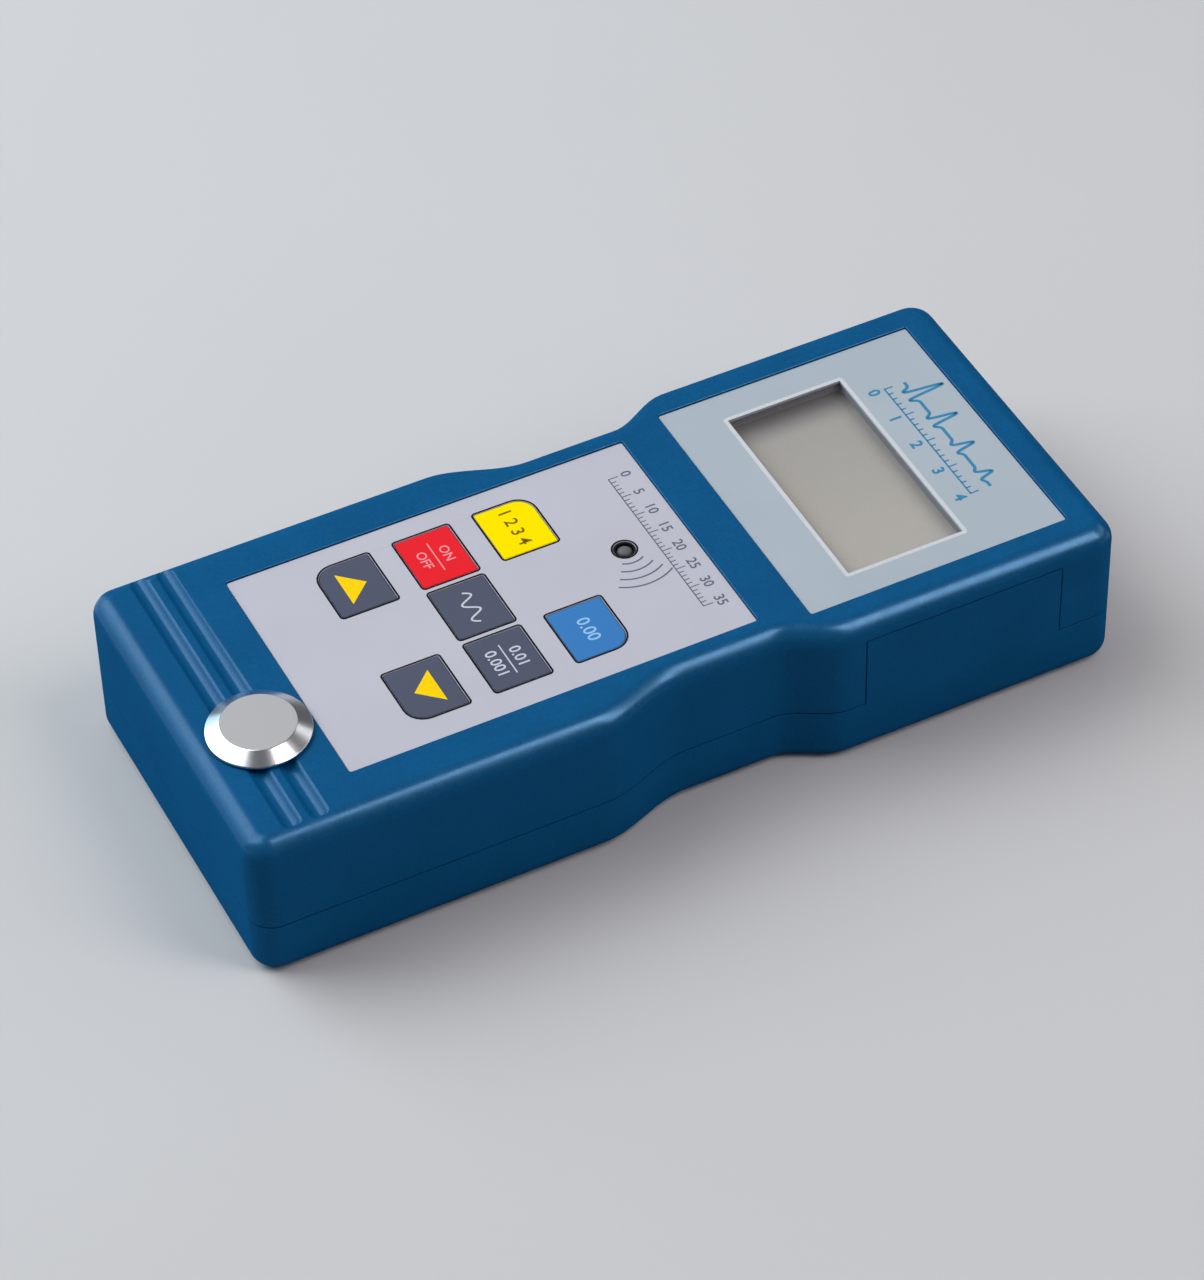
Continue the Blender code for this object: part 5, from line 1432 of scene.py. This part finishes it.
def build_probe_sockets(sizes):
    """The probe sockets with their threads, insulators and pins, and their nuts."""
    wall_inside = SHELL_HIGH.y - sizes.side_wall
    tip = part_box("probe_socket_left")[1].y - wall_inside
    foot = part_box("probe_socket_left")[0].y - wall_inside
    barrel, bore, tail, flange = BARREL_RADIUS, 2.2 * MM, 3.2 * MM, 5.2 * MM
    profile = [(0, foot), (tail, foot), (tail, -1.7 * MM), (flange, -1.7 * MM), (flange, -0.3 * MM),
               (barrel, -0.3 * MM), (barrel, 4.2 * MM)]
    turns = 4
    for index in range(turns):
        height = 4.25 * MM + index * 0.3 * MM
        profile += [(barrel - 0.12 * MM, height), (barrel, height + 0.15 * MM)]
    profile += [(barrel, tip - 0.2 * MM), (barrel - 0.25 * MM, tip), (bore + 0.2 * MM, tip)]
    profile += [(bore, tip - 0.25 * MM), (bore, tip - 6 * MM), (0, tip - 6 * MM)]
    fit, foot = bore - 0.02 * MM, tip - 5.98 * MM
    ring = [(0, foot), (fit, foot), (fit, tip - 4.2 * MM), (0.9 * MM, tip - 4.2 * MM),
            (0.9 * MM, tip - 4.0 * MM), (0, tip - 4.0 * MM)]
    pin = [(0, tip - 4.1 * MM), (0.5 * MM, tip - 4.1 * MM), (0.5 * MM, tip - 1.7 * MM),
           (0.3 * MM, tip - 1.5 * MM), (0, tip - 1.5 * MM)]
    for side, middle in sockets():
        place = along_y(middle.x, wall_inside, middle.z)
        shell = filled("socket_shell_" + side, lambda bm: turned(bm, profile, ROUND_SIDES, place))
        present(shell, finish("nickel_plate"), "housing", ["probe_socket_" + side], smooth=30)
        insulator = filled("socket_insulator_" + side, lambda bm: turned(
            bm, eased(ring, 0.1 * MM), 48, place))
        present(insulator, finish("white_moulding"), "housing")
        contact = filled("socket_pin_" + side, lambda bm: turned(bm, pin, 24, place))
        present(contact, finish("gold_pin"), "housing")
        build_nut(side, middle)


def build_nut(side, middle):
    """A thin nut with twelve flats and chamfered rims."""
    low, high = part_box("socket_nut_" + side)
    outer, inner = (high.z - low.z) / 2, 4.0 * MM
    thick = high.y - low.y
    profile = [(inner, 0.2 * MM), (inner + 0.2 * MM, 0), (outer - 0.35 * MM, 0), (outer, 0.3 * MM),
               (outer, thick - 0.3 * MM), (outer - 0.35 * MM, thick), (inner + 0.2 * MM, thick),
               (inner, thick - 0.2 * MM), (inner, 0.2 * MM)]
    place = along_y(middle.x, low.y, middle.z)
    nut = filled("socket_nut_ring_" + side, lambda bm: turned(bm, profile, 12, place))
    present(nut, finish("nickel_plate"), "housing", ["socket_nut_" + side], smooth=20)


def copied(name, pattern, places, turn, paint):
    """A linked object with a copy of a pattern at each place, each turned a step further about Z."""
    points = bmesh.new()
    for place in places:
        points.verts.new(place)
    made = bpy.data.objects.new(name, bpy.data.meshes.new("points"))
    points.to_mesh(made.data)
    points.free()
    bpy.context.scene.collection.objects.link(made)
    tree = bpy.data.node_groups.get("Copies at points") or copies_tree()
    run_tree(made, tree, {"Piece": pattern, "Turn": turn, "Material": finish(paint)})
    bpy.data.objects.remove(pattern)
    return made


def build_screws(kind, paint):
    """Cross-head screws: one modelled with its recess and thread, and copied to each place."""
    low, high, _ = next(screws(kind))
    head = (high.x - low.x) / 2
    shank = head * 0.5
    seat = low.z + head * (0.73 if kind == "housing" else 0.55)
    profile = [(0, low.z), (head * 0.7, low.z), (head * 0.93, low.z + head * 0.16)]
    profile += [(head, seat - head * 0.15), (head, seat), (shank, seat)]
    pitch = shank * 0.55
    height = seat + pitch
    while height < high.z - 2 * shank:
        profile += [(shank * 0.82, height), (shank, height + pitch / 2)]
        height += pitch
    profile += [(shank * 0.8, high.z - shank), (0, high.z)]

    def cross(bm):
        reach, half, deep = head * 0.52, head * 0.1, head * 0.45
        for x, y in ((reach, half), (half, reach)):
            slot = Vector((-x, -y)), Vector((x, -y)), Vector((x, y)), Vector((-x, y))
            mouth, bottom = [[corner * share for corner in slot] for share in (1.05, 0.55)]
            loft(bm, [at_height(mouth, low.z - 0.1 * MM), at_height(bottom, low.z + deep)])

    pattern = filled("screw_pattern", lambda bm: turned(bm, profile, 32))
    carve(pattern, [("DIFFERENCE", cross)])
    places = [(axis.x, axis.y, 0) for _, _, axis in screws(kind)]
    made = copied(kind + "_screws", pattern, places, 0.7, paint)
    nodes = ["%s_screw_%d" % (kind, n) for n in range(1, 5)]
    present(made, finish(paint), "housing", nodes, smooth=30)


# Inside

def build_cells():
    """Four cells, turned head to tail: sleeves, and bare metal ends."""
    low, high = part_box("battery_cell_1")
    radius = (high.x - low.x) / 2
    half = (high.y - low.y) / 2
    nub, nub_length, edge = 2.75 * MM, 1.1 * MM, 0.6 * MM
    body = half - nub_length
    middle = (low + high) / 2
    mouth, can_radius, can_foot = radius - 1.3 * MM, radius - 1.32 * MM, -half + 0.12 * MM
    sleeve = [(mouth, -half + 0.05 * MM), (radius - edge, -half), (radius, -half + edge),
              (radius, body - edge), (radius - edge, body), (mouth, body - 0.05 * MM),
              (mouth, -half + 0.05 * MM)]
    can = [(0, can_foot), (can_radius, can_foot), (can_radius, body - 0.12 * MM),
           (nub + 0.2 * MM, body - 0.1 * MM), (nub, body + 0.1 * MM), (nub, half - 0.2 * MM),
           (nub - 0.2 * MM, half), (0, half)]
    cells = ["battery_cell_%d" % n for n in range(1, 5)]
    places = []
    for cell in cells:
        corner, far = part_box(cell)
        places.append(((corner.x + far.x) / 2, middle.y, middle.z))
    for name, profile, paint, slot, nodes in (
            ("cell_sleeves", sleeve, "cell_sleeve", "cell_wrap", cells),
            ("cell_cans", can, "nickel_plate", "steel", ())):
        pattern = filled("cell_pattern", lambda bm: turned(bm, profile, 48, along_y(0, 0, 0)))
        made = copied(name, pattern, places, math.pi, paint)
        present(made, finish(paint), "housing", nodes)


INNER_FINISHES = {
    "display_tray": "white_moulding",
    "contact_strip_upper": "contact_rubber",
    "contact_strip_lower": "contact_rubber",
    "circuit_board": "board_mask",
    "processor_chip": "black_moulding",
    "timing_crystal": "nickel_plate",
    "negative_terminal": "spring_plate",
    "positive_terminal": "spring_plate",
    "contact_bridge_1": "spring_plate",
    "contact_bridge_2": "spring_plate",
    "contact_bridge_3": "spring_plate",
}


def paint_inner_parts():
    """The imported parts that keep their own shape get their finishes."""
    finishes = dict(INNER_FINISHES)
    for key, _, _ in KEYS:
        finishes[key + "_switch"] = "black_moulding"
        finishes[key + "_plunger"] = "black_moulding"
    for name, paint in finishes.items():
        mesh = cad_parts[name].data
        mesh.materials.clear()
        mesh.materials.append(finish(paint))


# Stage

def add_light(name, place, size, watts, tone=(1.0, 1.0, 1.0)):
    """A soft rectangular light that points at the gauge."""
    lamp = bpy.data.lights.new(name, "AREA")
    lamp.shape = "RECTANGLE"
    lamp.size, lamp.size_y = size
    lamp.energy = watts
    lamp.color = tone
    made = bpy.data.objects.new(name, lamp)
    made.location = place
    made.rotation_euler = (Vector((0.0, 0.0, 0.015)) - Vector(place)).to_track_quat("-Z", "Y").to_euler()
    bpy.context.scene.collection.objects.link(made)


def build_stage(settings, tones):
    """A plain pale floor, soft studio lights and the camera at the photograph's angle."""
    floor = filled("studio_floor", lambda bm: block(bm, (-3, -3, -0.02), (3, 3, 0)))
    paint, tree, shader, place = shader_tree("floor_paint")
    tone = toned(tree, noise(tree, place, 0.12, 3.0), tones.floor, 0.99, 1.01)
    tree.links.new(tone, shader.inputs["Base Color"])
    shader.inputs["Roughness"].default_value = 0.8
    shader.inputs["Specular IOR Level"].default_value = 0.2
    floor.data.materials.append(paint)

    world = bpy.data.worlds.new("studio")
    world.use_nodes = True
    background = world.node_tree.nodes["Background"]
    background.inputs["Color"].default_value = (0.9, 0.95, 1.0, 1)
    background.inputs["Strength"].default_value = settings.sky
    bpy.context.scene.world = world

    cool, blue, warm = (0.92, 0.96, 1.0), (0.5, 0.8, 1.0), (1.0, 0.92, 0.95)
    add_light("left_light", (-0.72, -0.66, 0.74), (1.0, 1.0), settings.left_power, cool)
    add_light("top_light", (-0.42, -0.44, 0.82), (0.9, 0.9), settings.top_power, cool)
    add_light("edge_light", (0.46, 0.42, 0.81), (0.30, 0.80), settings.edge_power, warm)
    add_light("corner_light", (-0.66, -0.50, 0.27), (0.9, 0.45), settings.corner_power, blue)
    add_light("back_light", (0.1, 0.95, 0.55), (0.9, 0.4), settings.back_power)
    add_light("mirrored_panel", (-0.90, 0.42, 0.70), (0.9, 0.9), settings.panel_power)

    eye, target = Vector(settings.camera_place), Vector(settings.camera_target)
    turn = (target - eye).to_track_quat("-Z", "Y") @ Quaternion((0, 0, 1), settings.camera_roll)
    lens = bpy.data.cameras.new("camera")
    lens.lens = settings.camera_lens
    lens.sensor_width = 36.0
    camera = bpy.data.objects.new("camera", lens)
    camera.matrix_world = Matrix.Translation(eye) @ turn.to_matrix().to_4x4()
    bpy.context.scene.collection.objects.link(camera)
    bpy.context.scene.camera = camera
    bpy.context.scene.view_settings.view_transform = "Standard"


# Operators

class PieceOperator:
    """Gives the operators the sizes and colours of their scene."""

    def sizes(self, context):
        scene = context.scene
        return scene.gauge_housing, scene.gauge_face, scene.gauge_colours, scene.gauge_stage


class GAUGE_OT_front_housing(PieceOperator, bpy.types.Operator):
    """Makes the waisted front casing with its recesses, grooves and openings"""
    bl_idname = "gauge.front_housing"
    bl_label = "Front Housing"

    def execute(self, context):
        housing, face, _, _ = self.sizes(context)
        build_front_housing(housing, face)
        return {"FINISHED"}


class GAUGE_OT_rear_housing(PieceOperator, bpy.types.Operator):
    """Makes the rear casing with its ears, battery bay and screw posts"""
    bl_idname = "gauge.rear_housing"
    bl_label = "Rear Housing"

    def execute(self, context):
        build_rear_housing(self.sizes(context)[0])
        return {"FINISHED"}


class GAUGE_OT_battery_door(PieceOperator, bpy.types.Operator):
    """Makes the sliding battery door with its thumb ribs"""
    bl_idname = "gauge.battery_door"
    bl_label = "Battery Door"

    def execute(self, context):
        build_battery_door(self.sizes(context)[0])
        return {"FINISHED"}


class GAUGE_OT_films(PieceOperator, bpy.types.Operator):
    """Makes the two films and everything printed on them"""
    bl_idname = "gauge.films"
    bl_label = "Printed Films"

    def execute(self, context):
        face = self.sizes(context)[1]
        build_films(face)
        build_face_print(face)
        return {"FINISHED"}


class GAUGE_OT_keys(PieceOperator, bpy.types.Operator):
    """Makes the seven key caps and their legends"""
    bl_idname = "gauge.keys"
    bl_label = "Keys"

    def execute(self, context):
        face = self.sizes(context)[1]
        build_keys(face)
        build_key_legends(face)
        return {"FINISHED"}


class GAUGE_OT_display(PieceOperator, bpy.types.Operator):
    """Makes the clear pane, the display glass and the coupling lamp"""
    bl_idname = "gauge.display"
    bl_label = "Display and Lamp"

    def execute(self, context):
        build_display(self.sizes(context)[1])
        build_lamp()
        return {"FINISHED"}


class GAUGE_OT_test_disc(PieceOperator, bpy.types.Operator):
    """Makes the turned steel test disc"""
    bl_idname = "gauge.test_disc"
    bl_label = "Test Disc"

    def execute(self, context):
        build_test_disc()
        return {"FINISHED"}


class GAUGE_OT_probe_sockets(PieceOperator, bpy.types.Operator):
    """Makes the probe sockets and their nuts"""
    bl_idname = "gauge.probe_sockets"
    bl_label = "Probe Sockets"

    def execute(self, context):
        build_probe_sockets(self.sizes(context)[0])
        return {"FINISHED"}


class GAUGE_OT_screws(PieceOperator, bpy.types.Operator):
    """Makes the casing screws and the board screws"""
    bl_idname = "gauge.screws"
    bl_label = "Screws"

    def execute(self, context):
        build_screws("housing", "zinc_screw")
        build_screws("board", "zinc_screw")
        return {"FINISHED"}


class GAUGE_OT_inside(PieceOperator, bpy.types.Operator):
    """Makes the cells and finishes the board, switches, contacts and tray"""
    bl_idname = "gauge.inside"
    bl_label = "Inside"

    def execute(self, context):
        build_cells()
        paint_inner_parts()
        return {"FINISHED"}


class GAUGE_OT_stage(PieceOperator, bpy.types.Operator):
    """Makes the floor, the lights and the camera"""
    bl_idname = "gauge.stage"
    bl_label = "Stage"

    def execute(self, context):
        _, _, tones, settings = self.sizes(context)
        build_stage(settings, tones)
        return {"FINISHED"}


OPERATORS = (
    GAUGE_OT_front_housing,
    GAUGE_OT_rear_housing,
    GAUGE_OT_battery_door,
    GAUGE_OT_films,
    GAUGE_OT_keys,
    GAUGE_OT_display,
    GAUGE_OT_test_disc,
    GAUGE_OT_probe_sockets,
    GAUGE_OT_screws,
    GAUGE_OT_inside,
    GAUGE_OT_stage,
)


class GAUGE_PT_dressing(bpy.types.Panel):
    """Lists the operators, sizes and colours in the sidebar"""
    bl_idname = "GAUGE_PT_dressing"
    bl_label = "Thickness Gauge"
    bl_space_type = "VIEW_3D"
    bl_region_type = "UI"
    bl_category = "Gauge"

    def draw(self, context):
        for operator in OPERATORS:
            self.layout.operator(operator.bl_idname)
        for name, group in GROUPS.items():
            box = self.layout.box()
            for key in group.__annotations__:
                box.prop(getattr(context.scene, name), key)


def register():
    for group in GROUPS.values():
        bpy.utils.register_class(group)
    for name, group in GROUPS.items():
        setattr(bpy.types.Scene, name, bpy.props.PointerProperty(type=group))
    for operator in OPERATORS:
        bpy.utils.register_class(operator)
    bpy.utils.register_class(GAUGE_PT_dressing)


def unregister():
    bpy.utils.unregister_class(GAUGE_PT_dressing)
    for operator in reversed(OPERATORS):
        bpy.utils.unregister_class(operator)
    for name in GROUPS:
        delattr(bpy.types.Scene, name)
    for group in reversed(list(GROUPS.values())):
        bpy.utils.unregister_class(group)


def main():
    """Registers the add-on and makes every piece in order."""
    register()
    for operator in OPERATORS:
        group, name = operator.bl_idname.split(".")
        getattr(getattr(bpy.ops, group), name)()


if __name__ == "__main__":
    main()
